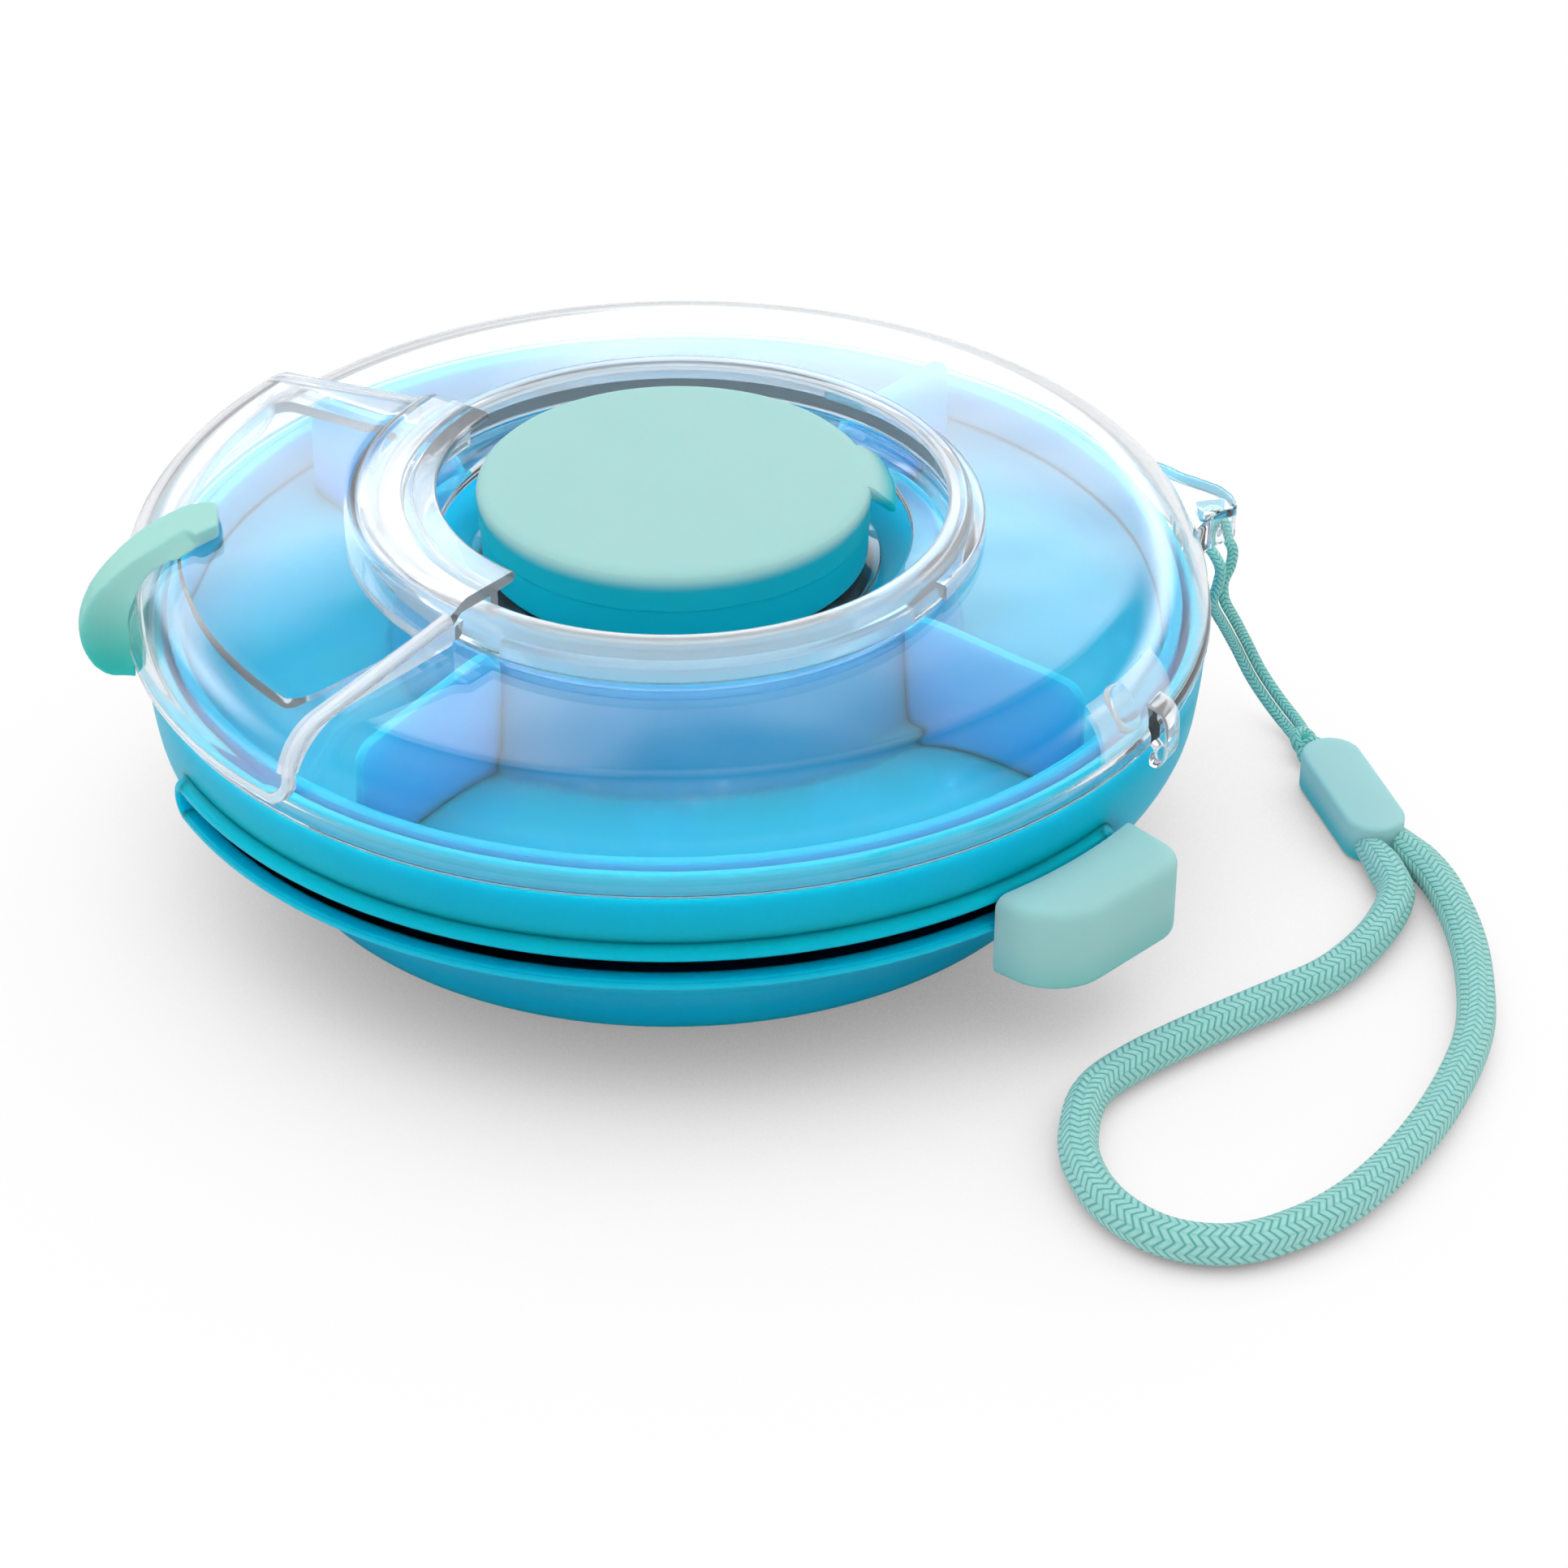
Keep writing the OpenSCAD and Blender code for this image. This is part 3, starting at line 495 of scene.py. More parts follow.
def lay_floor():
    """A white sweep. Where it is open to the sky it shows as pure white, and where the
    object shuts the sky out it greys, as under broad light from behind and above."""
    material, tree, output = new_material("white_sweep")
    tilt = add(tree, "ShaderNodeNormal")
    tilt.outputs["Normal"].default_value = Vector((0.0, 0.45, 0.9)).normalized()
    open_sky = add(tree, "ShaderNodeAmbientOcclusion", {"Distance": 0.12},
                   {"Normal": (tilt, "Normal")}, samples=6)
    grey = ramp(tree, (open_sky, "AO"), [
        (0.0, linear("#7C7C7C")), (0.15, linear("#A8A8A8")), (0.35, linear("#D1D1D1")),
        (0.55, linear("#F1F1F1")), (0.72, linear("#FCFCFC")), (0.78, linear("#FFFFFF"))])
    shown = add(tree, "ShaderNodeEmission", links={"Color": grey})
    paper = add(tree, "ShaderNodeBsdfDiffuse", {"Color": linear("#EEEEEE")})
    path = add(tree, "ShaderNodeLightPath")
    seen = maths(tree, "MAXIMUM", (path, "Is Camera Ray"), (path, "Is Transmission Ray"))
    mix = add(tree, "ShaderNodeMixShader", links={"Fac": seen})
    tree.links.new(paper.outputs["BSDF"], mix.inputs[1])
    tree.links.new(shown.outputs["Emission"], mix.inputs[2])
    tree.links.new(mix.outputs["Shader"], output.inputs["Surface"])
    bm = bmesh.new()
    bmesh.ops.create_grid(bm, x_segments=1, y_segments=1, size=3.0)
    floor = put("sweep", as_mesh("sweep", bm))
    floor.data.materials.append(material)


# ------------------------------------------------------------------ lanyard

THIN_D = 1.6
THICK_D = 5.8
THIN_ROUTE = [
    (101.7, 10.2, 2.9), (100.9, 14.4, 2.7), (98.1, 19.3, 4.5), (95.0, 21.6, 8.5),
    (92.4, 22.3, 13.5), (90.1, 20.9, 18.5), (88.0, 19.6, 23.0), (87.7, 20.0, 26.2),
    (88.7, 20.3, 29.2), (88.8, 20.4, 32.2), (87.2, 20.2, 35.0), (86.6, 20.1, 36.9),
    (86.1, 20.0, 38.1), (85.0, 19.7, 38.5), (84.0, 19.4, 38.1), (83.5, 19.3, 36.9),
    (83.8, 18.9, 34.6), (85.6, 18.2, 32.4), (86.8, 17.8, 29.8), (86.5, 17.9, 26.6),
    (86.0, 18.3, 23.0), (88.5, 20.0, 17.5), (90.8, 21.7, 12.5), (93.4, 21.0, 7.5),
    (96.5, 18.7, 3.5), (99.3, 13.8, 1.8), (100.4, 9.9, 2.2)]
THICK_ROUTE = [
    (107.0, -17.8, 3), (108.2, -22.6, 3), (109.8, -28.4, 3), (110.4, -35.6, 3),
    (106.0, -45.5, 3), (98.5, -55.0, 3), (89.5, -61.5, 3), (77.5, -69.5, 3),
    (67.5, -77.0, 3), (61.0, -84.0, 3), (58.5, -92.5, 3), (58.5, -101.0, 3),
    (62.0, -110.0, 3), (69.0, -116.5, 3), (78.0, -118.0, 3), (87.0, -114.5, 3),
    (95.5, -108.0, 3), (104.5, -97.0, 3), (112.0, -84.0, 3), (117.5, -70.0, 3),
    (119.5, -56.0, 3), (119.5, -43.5, 3), (117.6, -31.6, 3), (113.7, -22.0, 3),
    (110.9, -16.6, 3)]
KNOT = ((101.2, 8.8, 2.7), (102.1, 6.0, 2.7))
SLEEVE_AT = (106.6, -9.5)
SLEEVE_TURN = -75.0
SLEEVE_SIZE = (27.4, 9.7, 7.0)


def smooth_route(points, per_span):
    """The smooth curve through the points, as the CAD source draws it."""
    last = len(points) - 1
    route = []
    for i in range(last):
        a, b, c, d = (Vector(points[max(0, min(last, k))]) for k in (i - 1, i, i + 1, i + 2))
        for k in range(per_span):
            t = k / per_span
            route.append(0.5 * (2 * b + (c - a) * t + (2 * a - 5 * b + 4 * c - d) * t * t
                                + (3 * b - a - 3 * c + d) * t ** 3))
    route.append(Vector(points[last]))
    return route


def route_length(route):
    return sum((b - a).length for a, b in zip(route, route[1:]))


def cord_mesh(route, radius_at, sides, up):
    """A round cord along a route, ring by ring, its UV running round and along it."""
    bm = bmesh.new()
    rings, runs = [], []
    run, over = 0.0, up
    for i, at in enumerate(route):
        along = (route[min(i + 1, len(route) - 1)] - route[max(i - 1, 0)]).normalized()
        over = (over - along * over.dot(along)).normalized()
        run += (at - route[i - 1]).length if i else 0.0
        turn = Matrix((along.cross(over), over, along)).transposed().to_4x4()
        turn.translation = at * MM
        made = bmesh.ops.create_circle(bm, cap_ends=False, segments=sides,
                                       radius=radius_at(run) * MM, matrix=turn)
        rings.append(made["verts"])
        runs.append(run)
    for a, b in zip(rings, rings[1:]):
        edges = {e for v in a + b for e in v.link_edges}
        bmesh.ops.bridge_loops(bm, edges=[e for e in edges if set(e.verts) <= set(a)
                                          or set(e.verts) <= set(b)])
    turned_to = {}
    for ring, run in zip(rings, runs):
        for k, v in enumerate(ring):
            turned_to[v] = (k / sides, run)
    uv = bm.loops.layers.uv.new("along")
    for face in bm.faces:
        places = [turned_to[loop.vert] for loop in face.loops]
        wraps = max(p[0] for p in places) - min(p[0] for p in places) > 0.5
        for loop, (u, v) in zip(face.loops, places):
            loop[uv].uv = (u + 1.0 if wraps and u < 0.5 else u, v)
    for ring in (rings[0], rings[-1]):
        bmesh.ops.contextual_create(bm, geom=ring)
    return face_outward(bm)


def make_lanyard():
    up = Vector((0, 0, 1))
    route = smooth_route(THICK_ROUTE, 8)
    whole = route_length(route)
    squeezed, free_from = 0.6, 10.0

    def loop_radius(run):
        """The braid is squeezed where the sleeve holds it."""
        end = min(run, whole - run)
        return THICK_D / 2 * min(1.0, squeezed + (1 - squeezed) * end / free_from)

    loop = finish_piece("wrist_loop_braid", cord_mesh(route, loop_radius, 20, up), loop_braid,
                        "lid", ["wrist_loop"])

    size_x, size_y, size_z = SLEEVE_SIZE
    corner = size_y / 2 - 0.05
    x, y = size_x / 2, size_y / 2
    block = plate([(x, -y, corner), (x, y, corner), (-x, y, corner), (-x, -y, corner)],
                  0.2, size_z)
    soften(block, 1.1, 4)
    rotate(block, SLEEVE_TURN)
    bmesh.ops.translate(block, verts=block.verts, vec=Vector((*SLEEVE_AT, 0)) * MM)
    sleeve = finish_piece("sleeve_block", block, sleeve_rubber, "lid",
                          ["cord_sleeve"])

    knot = make_knot()

    per_span, over_bar = 5, 13
    thin = smooth_route(THIN_ROUTE, per_span)
    bar_at = route_length(thin[:per_span * over_bar + 1])
    slack, taut_for, eases_in = 0.12, 4.0, 5.0

    def thin_radius(run):
        """The cord is pulled thinner where it bends round the lug's bar."""
        away = min(1.0, max(0.0, (abs(run - bar_at) - taut_for) / eases_in))
        return THIN_D / 2 + slack * away

    cord = finish_piece("anchor_braid", cord_mesh(thin, thin_radius, 12,
                                                  Vector((0.6, 0.8, 0)).normalized()),
                        cord_braid, "lid", ["anchor_cord"])


def make_knot():
    """Two turns of the thin cord pulled tight round its own ends."""
    turns = []
    for at, tilt, size in ((KNOT[0], 35.0, 1.75), (KNOT[1], -30.0, 1.65)):
        ring = [Vector((math.cos(math.radians(a)) * size, math.sin(math.radians(a)) * size, 0))
                for a in range(0, 360, 20)]
        lie = Matrix.Rotation(math.radians(tilt), 3, "Y") @ Matrix.Rotation(
            math.radians(25), 3, "X")
        turns.append(ring_mesh([Vector(at) + lie @ p for p in ring], 0.95, 12))
    return finish_piece("knot_turns", joined(*turns), cord_braid, "lid",
                        ["anchor_knot"])


def ring_mesh(path, radius, sides):
    """A closed cord ring along a loop of points, filled in the middle by its own bulk."""
    bm = cord_mesh(path + path[:1], lambda run: radius, sides,
                   Vector((0.1, 0.2, 1)).normalized())
    core = bmesh.ops.create_icosphere(bm, subdivisions=2, radius=1.5 * MM)
    middle = sum(path, Vector()) / len(path)
    bmesh.ops.translate(bm, verts=core["verts"], vec=middle * MM)
    return bm


# ------------------------------------------------------------------ tub

def slot_cutter():
    """The lever's slot, a little shorter than its lips."""
    return turned([(74.4, SLOT_Z[0], 0), (88.4, SLOT_Z[0], 0), (88.4, SLOT_Z[1], 0),
                   (74.4, SLOT_Z[1], 0)], SLOT[0] + 1.2, SLOT[1] - SLOT[0] - 2.4)


def slot_lips():
    """Two lips along the slot, which run into each other round its ends."""
    middle = sum(SLOT_Z) / 2
    section = [(79.6, 1.6, 0), (83.5, 1.6, 0.4), (83.7, 2.3, 0.4), (83.5, 3.2, 0.6),
               (81.2, 4.4, 0.4), (79.6, 4.4, 0)]
    start, stop = SLOT[0] + 3.1, SLOT[1] - 3.1
    ledge = [(76.6, 1.6, 0)] + section[1:-1] + [(76.6, 3.4, 0)]
    parts = [turned([(r, middle + side * d, c) for r, d, c in outline], start, stop - start)
             for side, outline in ((1, section), (-1, ledge))]
    for azimuth, way in ((start, 180), (stop, -180)):
        end = rounded_face([(r, middle + d, c) for r, d, c in section])
        bmesh.ops.delete(end, geom=end.faces[:], context="FACES_ONLY")
        upright = Matrix.Rotation(math.radians(azimuth), 3, "Z")
        rotate(end, azimuth)
        bmesh.ops.spin(end, geom=end.verts[:] + end.edges[:], cent=(0, 0, middle * MM),
                       axis=upright @ Vector((1, 0, 0)), angle=math.radians(way), steps=18,
                       use_merge=False, use_duplicate=False)
        bmesh.ops.holes_fill(end, edges=[e for e in end.edges if e.is_boundary], sides=0)
        parts.append(face_outward(end))
    return parts


def make_tub():
    wall = turned([
        (0, 2, 0), (61, 2, 0.4), (61.6, 0, 0.4), (65, 0, 0.5), (66.4, 4.6, 1.5),
        (70, 9.8, 2), (75, 14, 2), (81.0, 19.6, 4), (82, 26, 3), (TUB_R, 31, 1),
        (TUB_R, 35.2, 0.3), (80.6, 35.2, 0.2), (80.6, 38.6, 0.6), (79.4, 38.6, 0.5),
        (79.4, 34.6, 0.4), (80.4, 31, 1), (80, 26, 2), (79, 21.6, 2), (77.2, 18.4, 1),
        (73.6, 15.4, 1.5), (68.8, 11.4, 1.5), (64.4, 6.4, 1), (63.4, 4, 0.8), (0, 4, 0)])
    wall = carved(wall, "DIFFERENCE", slot_cutter())
    bearing = turned([(41, 3.5, 0), (42.6, 3.5, 0), (42.6, 20.5, 0), (47.6, 20.5, 0.3),
                      (47.6, 22.2, 0.3), (42.6, 22.2, 0), (42.6, 24.5, 0.3), (41, 24.5, 0.3)])
    post = turned([(8, 3.5, 0), (13, 3.5, 0), (13, 8.7, 0.3), (10, 8.7, 0), (10, 20.3, 0),
                   (10.9, 20.3, 0), (10.9, 20.7, 0), (10, 21.7, 0.2), (8, 21.7, 0.2)])
    ribs = [slab([(42, 3.5, 0), (60, 3.5, 0), (60, 20.5, 0.5), (42, 20.5, 0)], 1.6, k * 45 + 10)
            for k in range(8)]
    ribs += [slab([(12, 3.5, 0), (41.5, 3.5, 0), (41.5, 14, 0), (12, 14, 0)], 1.6, k * 90)
             for k in range(4)]
    tongues = [slab([(60, 22.8, 0.3), (80, 22.8, 0), (80, 24.3, 0), (60, 24.3, 0.3)], 8, a)
               for a in DIVIDERS[:2]]
    finish_piece("tub_shell", joined(wall, *slot_lips(), bearing, post, *ribs, *tongues),
                 tub_plastic, "base", ["base_shell"])


# ------------------------------------------------------------------ tray

def make_tray():
    bowl = turned([
        (43, 26.2, 0.4), (70, 26.2, 2), (73.8, 27.4, 1.5), (76.6, 30.2, 2), (78, 34, 2),
        (78.4, 39, 0.5), (76.6, 39, 0.5), (76.3, 34.4, 2), (75.1, 31.2, 2), (72.8, 29, 1.5),
        (69.6, 28, 2), (44.5, 28, 1.2), (42.9, 44, 0.6), (42.3, 45, 0.4), (41.3, 45, 0.4),
        (41.1, 43.8, 0.5), (32.4, 41.9, 0.6), (30.2, 41.9, 0.5), (28.6, 20, 0.8),
        (10.06, 20, 0.2), (10.06, 9, 0), (13, 9, 0.3), (13, 18.2, 0), (30.2, 18.2, 0.6),
        (32, 40.1, 0.6), (40.3, 41.6, 0.6), (41.1, 32.2, 0)])
    inner, end, below_lid = 43.5, 74.2, 0.8
    top = DOME_Z - LID_WALL - below_lid
    fins = []
    for azimuth in DIVIDERS:
        fin = slab([(inner, 26.8, 0), (70, 26.8, 0), (end, 28.8, 0), (end, 45.1, 3),
                    (60, top - 0.8, 3), (50, top, 2), (46.2, top, 0.6), (44.1, 44.4, 0),
                    (inner, 44.4, 0)], 1.8, azimuth)
        fins.append(soften(fin, 0.45, 2, 60))
    teeth = []
    for k in range(12):
        tooth = rounded_face([(0, 26.7, 0), (0, 25.1, 0), (-17, 26.3, 0), (-17, 26.7, 0)])
        thicken(tooth, (0, 9 * MM, 0))
        rotate(tooth, 90)
        bmesh.ops.translate(tooth, verts=tooth.verts, vec=(54.5 * MM, 0, 0))
        rotate(tooth, DIVIDERS[0] + 30 * k)
        teeth.append(face_outward(tooth))
    finish_piece("tray_bowls", joined(bowl, *fins, *teeth), tray_plastic, "tray",
                 ["compartment_tray", "tray_hub", "cup_socket"])


# ------------------------------------------------------------------ lid

def make_nose():
    """The lanyard's lug: a soft nose on the rim, hollow from below, with a bar inside."""
    nose = plate([(81.4, -10, 0), (84, -7.6, 2), (86.6, -5.6, 1.2), (90.6, -4.6, 1.7),
                  (91.2, -1.2, 1.6), (90.8, 2.4, 1.8), (88.3, 5.8, 2.1), (85.9, 8.5, 1.3),
                  (83.6, 12.6, 2), (81.4, 14.8, 0)], LID_SKIRT - 0.2, LID_SKIRT + 5.8)
    nose = melted(nose, voxel=0.35, rounds=10)
    window = plate([(84.8, -3.2, 0.6), (89.9, -3.2, 0.6), (89.9, 0.2, 0.6), (84.8, 0.2, 0.6)],
                   LID_SKIRT - 2, LID_SKIRT + 3.9)
    bar = bmesh.new()
    bmesh.ops.create_cone(bar, cap_ends=True, segments=16, radius1=0.6 * MM, radius2=0.6 * MM,
                          depth=4 * MM, matrix=Matrix.Rotation(math.radians(90), 4, "X"))
    bmesh.ops.translate(bar, verts=bar.verts, vec=Vector((87.3, -1.5, 36.9)) * MM)
    for part in (nose, window, bar):
        rotate(part, 14)
    return nose, window, bar


def make_lid():
    shell = turned([
        (83, LID_SKIRT, 0.3), (83, 37.7, 0.7), (82.45, 38.5, 0.3), (82.9, DOME_Z, 11.2),
        (70.4, DOME_Z, 0), (47.4, DOME_Z, 0), (46.6, DOME_Z, 0.6), (45.7, 53.4, 0.3),
        (44.9, 54.3, 0.4), (42.6, 54.3, 0.4), (42.1, 53.8, 0), (42.1, 53, 0), (43.9, 53, 0.2),
        (43.9, 47.5, 0.3), (36.5, 47.5, 0.4), (36.5, 46.2, 0.4), (45.4, 46.2, 0.3),
        (46, 47.5, 0.4), (47.4, 47.5, 0), (70.4, 47.5, 0), (81.2, 47.5, 9.6),
        (81, LID_SKIRT, 0.3)], step=2)
    opening = turned([(50.5, 45, 0), (75.5, 45, 0), (75.5, 51, 0), (50.5, 51, 0)],
                     DOOR_FROM + 5, DOOR_SPAN - 10)
    upright = [e for e in opening.edges
               if abs(e.verts[0].co.z - e.verts[1].co.z) > 5 * MM and e.calc_face_angle(0) > 1.0]
    bmesh.ops.bevel(opening, geom=upright, offset=4 * MM, offset_type="OFFSET", affect="EDGES",
                    segments=6, profile=0.5, material=-1)
    shell = carved(shell, "DIFFERENCE", opening)
    band = [turned([(44.7, DOME_Z - 0.8, 0), (47.9, DOME_Z - 0.8, 0), (47.8, DOME_Z + 2.4, 0.5),
                    (46.4, DOME_Z + 2.6, 0.3), (44.7, DOME_Z + 2.6, 0)], a + 5, 80)
            for a in DIVIDERS]
    nose, window, bar = make_nose()
    hook = slab([(81.8, 42.6, 0), (84.2, 41.8, 1), (85.4, 40, 1), (85.6, 37, 1),
                 (85.4, 33.4, 1), (84, 31.6, 0.6), (82.7, 32, 0.3), (82.7, 34, 0.5),
                 (83.6, 34.6, 0), (81.8, 36.4, 0)], 4.6, 330)
    soften(hook, 0.9, 4, 60)
    boss = plate([(3.8, -2.6, 2.4), (3.8, 2.6, 2.4), (-3.8, 2.6, 2.4), (-3.8, -2.6, 2.4)],
                 10.5, 12.3)
    soften(boss, 0.5, 3, 60)
    rotate(boss, 55, "Y")
    bmesh.ops.translate(boss, verts=boss.verts, vec=Vector((71.5, 0, 37.8)) * MM)
    rotate(boss, 324.4)
    shell = carved(shell, "UNION", nose, hook, boss, *band)
    shell = carved(shell, "DIFFERENCE", window)
    lid = finish_piece("lid_shell", joined(shell, bar), clear_plastic, "lid",
                       ["lid_dome"])

    def thick(reach, around, z, normal):
        """The collar's band, the opening's cut edge, and the snap hook with the boss over it,
        where the plastic is thickest and looks milkiest; the milky finish there is partly a
        painted highlight."""
        collar = reach < 48.2 and z > DOME_Z + 0.1
        cut_edge = 49.5 < reach < 78 and 130 < around < 229 and abs(normal.z) < 0.6
        hook_face = 320 < around < 333 and reach > 84 and z < 42
        boss_face = 320 < around < 333 and reach > 78.6 and z > 38.4
        return collar or cut_edge or hook_face or boss_face

    refinish(lid, milky_highlit_plastic, thick)


# ------------------------------------------------------------------ door

def corner_cutter(azimuth, way):
    """What the rounding takes off one of the door's lower corners."""
    low, high = DOOR_LOW - 2, DOOR_LOW + CORNER_IN
    block = turned([(81, low, 0), (87, low, 0), (87, high, 0), (81, high, 0)],
                   min(azimuth - way, azimuth + CORNER_DEG * way), CORNER_DEG + 1)
    rod = bmesh.new()
    bmesh.ops.create_cone(rod, cap_ends=True, segments=96, radius1=CORNER_R * MM,
                          radius2=CORNER_R * MM, depth=10 * MM,
                          matrix=Matrix.Rotation(math.radians(90), 4, "Y"))
    bmesh.ops.translate(rod, verts=rod.verts, vec=Vector((84, 0, high)) * MM)
    rotate(rod, azimuth + CORNER_DEG * way)
    return carved(block, "DIFFERENCE", rod)


def rim_route():
    """The middle of the door's wall along its edge: down its front end, round the lower
    corner, along the foot, and up its back end."""
    x, z, arc = DOOR_ARC
    middle = arc - DOOR_RIM
    round_r = CORNER_R - DOOR_RIM
    ends = []
    for azimuth, way in ((DOOR_FROM + DOOR_SPAN, -1), (DOOR_FROM, 1)):
        outward = Matrix.Rotation(math.radians(azimuth), 3, "Z") @ Vector((1, 0, 0))
        inward = Vector((-outward.y, outward.x, 0)) * way
        # reach, height and distance in from the end: the top, the shoulder, the corner
        line = [(r, 54.4 - (r - 49.6) * 0.139, DOOR_RIM) for r in (50, 56, 62, 68, 73)]
        line += [(x + middle * math.cos(math.radians(t)), z + middle * math.sin(
            math.radians(t)), DOOR_RIM) for t in (82, 70, 58, 46, 34, 22, 12)]
        for t in (22.4, 33.7, 45, 56.3, 67.6):
            high = DOOR_LOW + CORNER_IN - round_r * math.sin(math.radians(t))
            lean = math.asin(max(0.0, (high - z) / middle))
            line.append((x + middle * math.cos(lean), high,
                         CORNER_IN - round_r * math.cos(math.radians(t))))
        ends.append([outward * r + Vector((0, 0, h)) + inward * t for r, h, t in line])
    steps, trim = 44, 4.2
    first = DOOR_FROM + DOOR_SPAN - trim
    sweep = DOOR_SPAN - 2 * trim
    foot = [Matrix.Rotation(math.radians(first - sweep * i / steps), 3, "Z")
            @ Vector((x + middle, 0, DOOR_LOW + DOOR_RIM)) for i in range(steps + 1)]
    return smooth_route([tuple(p) for p in ends[0] + foot + ends[1][::-1]], 3)


def make_door():
    x, z, arc = DOOR_ARC
    panel = turned([
        (40.2, 49.4, 0.2), (40.2, 54.75, 0.3), (36.5, 54.9, 0.5), (36.3, 56.6, 0.7),
        (47.6, 56.7, 1.5), (49.6, 55.2, 1.5), (52, 54.83, 0), (74.6, 51.6, 0),
        *bend(x, z, arc, 84, 0, 18), (x + arc, DOOR_LOW, 0.4), (x + arc - 1.5, DOOR_LOW, 0.4),
        *bend(x, z, arc - 2 * DOOR_RIM, 0, 88, 18), (74.6, 50.0, 0), (52, 53.1, 0),
        (49.2, 53.5, 0.8), (48.2, 54.7, 0.5), (41.7, 54.7, 0.3), (41.7, 52.6, 0),
        (43.4, 52.4, 0.3), (43.4, 51.6, 0.3), (41.7, 50.2, 0), (41.7, 49.4, 0.2)],
        DOOR_FROM, DOOR_SPAN, 2)
    last = DOOR_FROM + DOOR_SPAN
    panel = carved(panel, "DIFFERENCE", corner_cutter(DOOR_FROM, 1), corner_cutter(last, -1))
    door = finish_piece("door_shell", panel, clear_plastic, "door",
                        ["door_panel"])
    refinish(door, hazy_plastic, lambda reach, around, z, normal: reach < 49.6)
    side = [(49.6, 54.0, 0), (74.6, 50.8, 0), *bend(x, z, arc - 1.0, 84, 10, 9),
            *bend(71.5, 37.8, 12, 30, 88, 8), (49.6, 49.8, 0.3)]
    sides = [turned(side, DOOR_FROM + 0.5, 1.4, 0.7), turned(side, last - 1.9, 1.4, 0.7)]
    rim_r = 0.86
    rim = cord_mesh(rim_route(), lambda run: rim_r, 14, Vector((0.466, -0.377, -0.8)))
    # the rim and the end walls take the milky finish, partly a painted highlight along the
    # door's edge
    finish_piece("door_rim", joined(rim, *sides), milky_highlit_plastic, "door",
                 ["door_panel"])


# ------------------------------------------------------------------ dip cup and its cap

def make_cup():
    cup = turned([
        (0, 22.2, 0), (12.4, 22.2, 0.4), (13.4, 20.3, 0.5), (27.1, 20.3, 0.8), (28.5, 42.2, 0),
        (31.9, 42.2, 0.3), (31.9, 43.5, 0.3), (28.6, 43.5, 0.4), (29, 50, 0.2), (29.2, 50.4, 0),
        (29.2, 51.6, 0.4), (27.8, 51.6, 0.4), (25.7, 22.2, 1), (24.2, 21.7, 0.5),
        (14.3, 21.7, 0.5), (13.2, 23.4, 0.4), (0, 23.4, 0)])
    finish_piece("cup_wall", cup, clear_plastic, "cup", ["dip_cup"])


def make_cap():
    disc = turned([
        (0, 57.2, 0), (29.4, 57.1, 1.2), (30.6, 55.4, 1.0), (30.2, 54.0, 0.3), (30.2, 50.6, 0.3),
        (29.95, 50.3, 0.2), (29.85, 44.6, 0.3), (29.35, 44.6, 0.1), (29.35, 52.1, 0.1),
        (27.1, 52.1, 0), (27.1, 50, 0.1), (27.35, 49.6, 0.1), (27.1, 49.2, 0.1),
        (27.1, 47.6, 0.2), (26.4, 46.2, 0.4), (24.9, 46.2, 0.3), (24.7, 53.4, 0.5),
        (23.7, 54.4, 0.5), (0, 54.4, 0)])
    tab = turned([(28.4, 56.9, 0.2), (30.6, 56.5, 0.6), (33.9, 53.8, 0.8), (34.2, 52.6, 0.4),
                  (33.2, 52.3, 0.4), (29.6, 54.8, 0.3), (28.4, 54.8, 0)], -6, 26)
    soften(tab, 0.35, 2, 60)
    finish_piece("cap_disc", carved(disc, "UNION", tab), cap_silicone, "cap",
                 ["cup_cap"])


# ------------------------------------------------------------------ lever and door tab

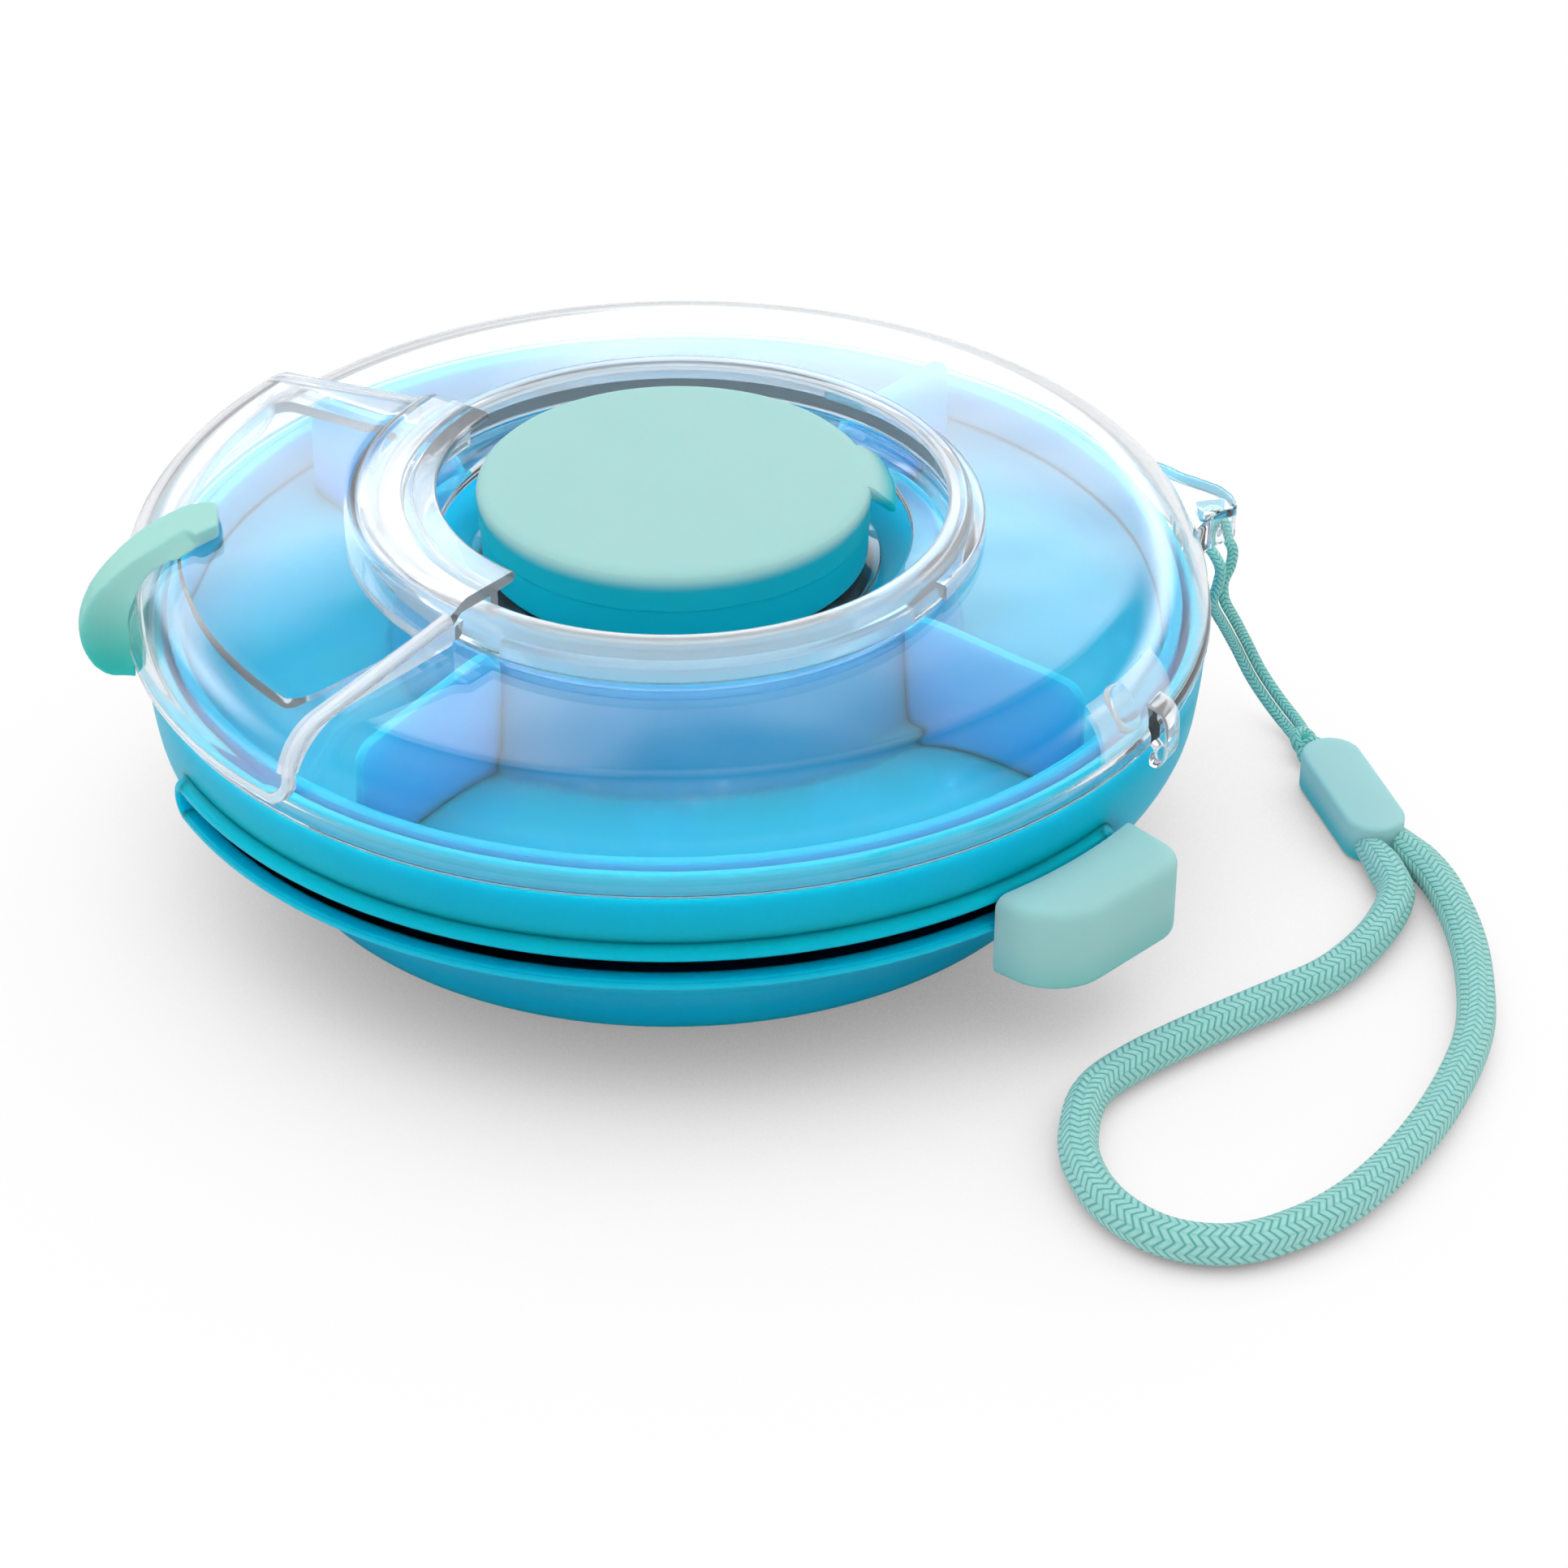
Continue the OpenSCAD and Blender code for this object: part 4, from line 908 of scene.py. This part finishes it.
def make_grip():
    block = plate([(81, -14.9, 0), (94.9, -13.0, 8.5), (94.7, 14.0, 4.6), (81, 14.7, 0)],
                  12.8, 26.8)
    soften(block, 1.9, 5, 60)
    rotate(block, 314)
    follow = turned([(60, 10, 0), (84.1, 10, 0), (84.1, 30, 0), (60, 30, 0)], 290, 48, 1.5)
    finish_piece("grip_block", carved(block, "DIFFERENCE", follow), grip_rubber, "lever",
                 ["lever_grip"])


def make_tab():
    """The thumb fin: a blade askew over the door's shoulder, scooped on its front side."""
    x, z, arc = DOOR_ARC
    blade = turned([
        (66, 52.3, 0), (66, 53.8, 0), (70, 54.5, 2), (78, 53.8, 3), (85, 51.6, 3.4),
        (91.4, 46.5, 4), (92.3, 38.5, 3.6), (88.5, 34.6, 1.4), (84.3, 34.6, 0.5),
        *bend(x, z, arc - 0.5, 0, 84, 10)], 176, 36, 2)
    plan = plate([
        (-68.7, -10.8, 0.5), (-69.7, -3.8, 0.5), (-73, -3, 2.6), (-79, -7.4, 4),
        (-85.6, -14.2, 4.4), (-90.4, -19.4, 2.2), (-89.6, -23.6, 1.8), (-86, -25.8, 1.8),
        (-82.2, -25.4, 0), (-79, -21.6, 2), (-74.6, -16.6, 2), (-71.8, -13.2, 1)], 30, 58)
    fin = carved(blade, "INTERSECT", plan)
    route = smooth_route([(-70.2, -15.6, 57.9), (-72.3, -18, 57.2), (-76.2, -22, 55),
                          (-82.1, -26.2, 50.5), (-84.6, -27.3, 45), (-84.7, -27.8, 40.6),
                          (-83.5, -28.8, 36.5), (-81.5, -30.5, 32)], 8)
    thumb_r = 6.5
    scoop = cord_mesh(route, lambda run: thumb_r, 40, Vector((0, -0.6, 0.8)))
    fin = melted(carved(fin, "DIFFERENCE", scoop), voxel=0.3, rounds=8)
    finish_piece("tab_fin", fin, tab_rubber, "door", ["door_tab"], sharp=60)


place_camera()
light_studio()
lay_floor()
make_lanyard()
make_tub()
make_tray()
make_lid()
make_door()
make_cup()
make_cap()
make_grip()
make_tab()
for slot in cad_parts["drive_plate"].material_slots:
    slot.material = tub_plastic

scene.view_settings.view_transform = "Standard"
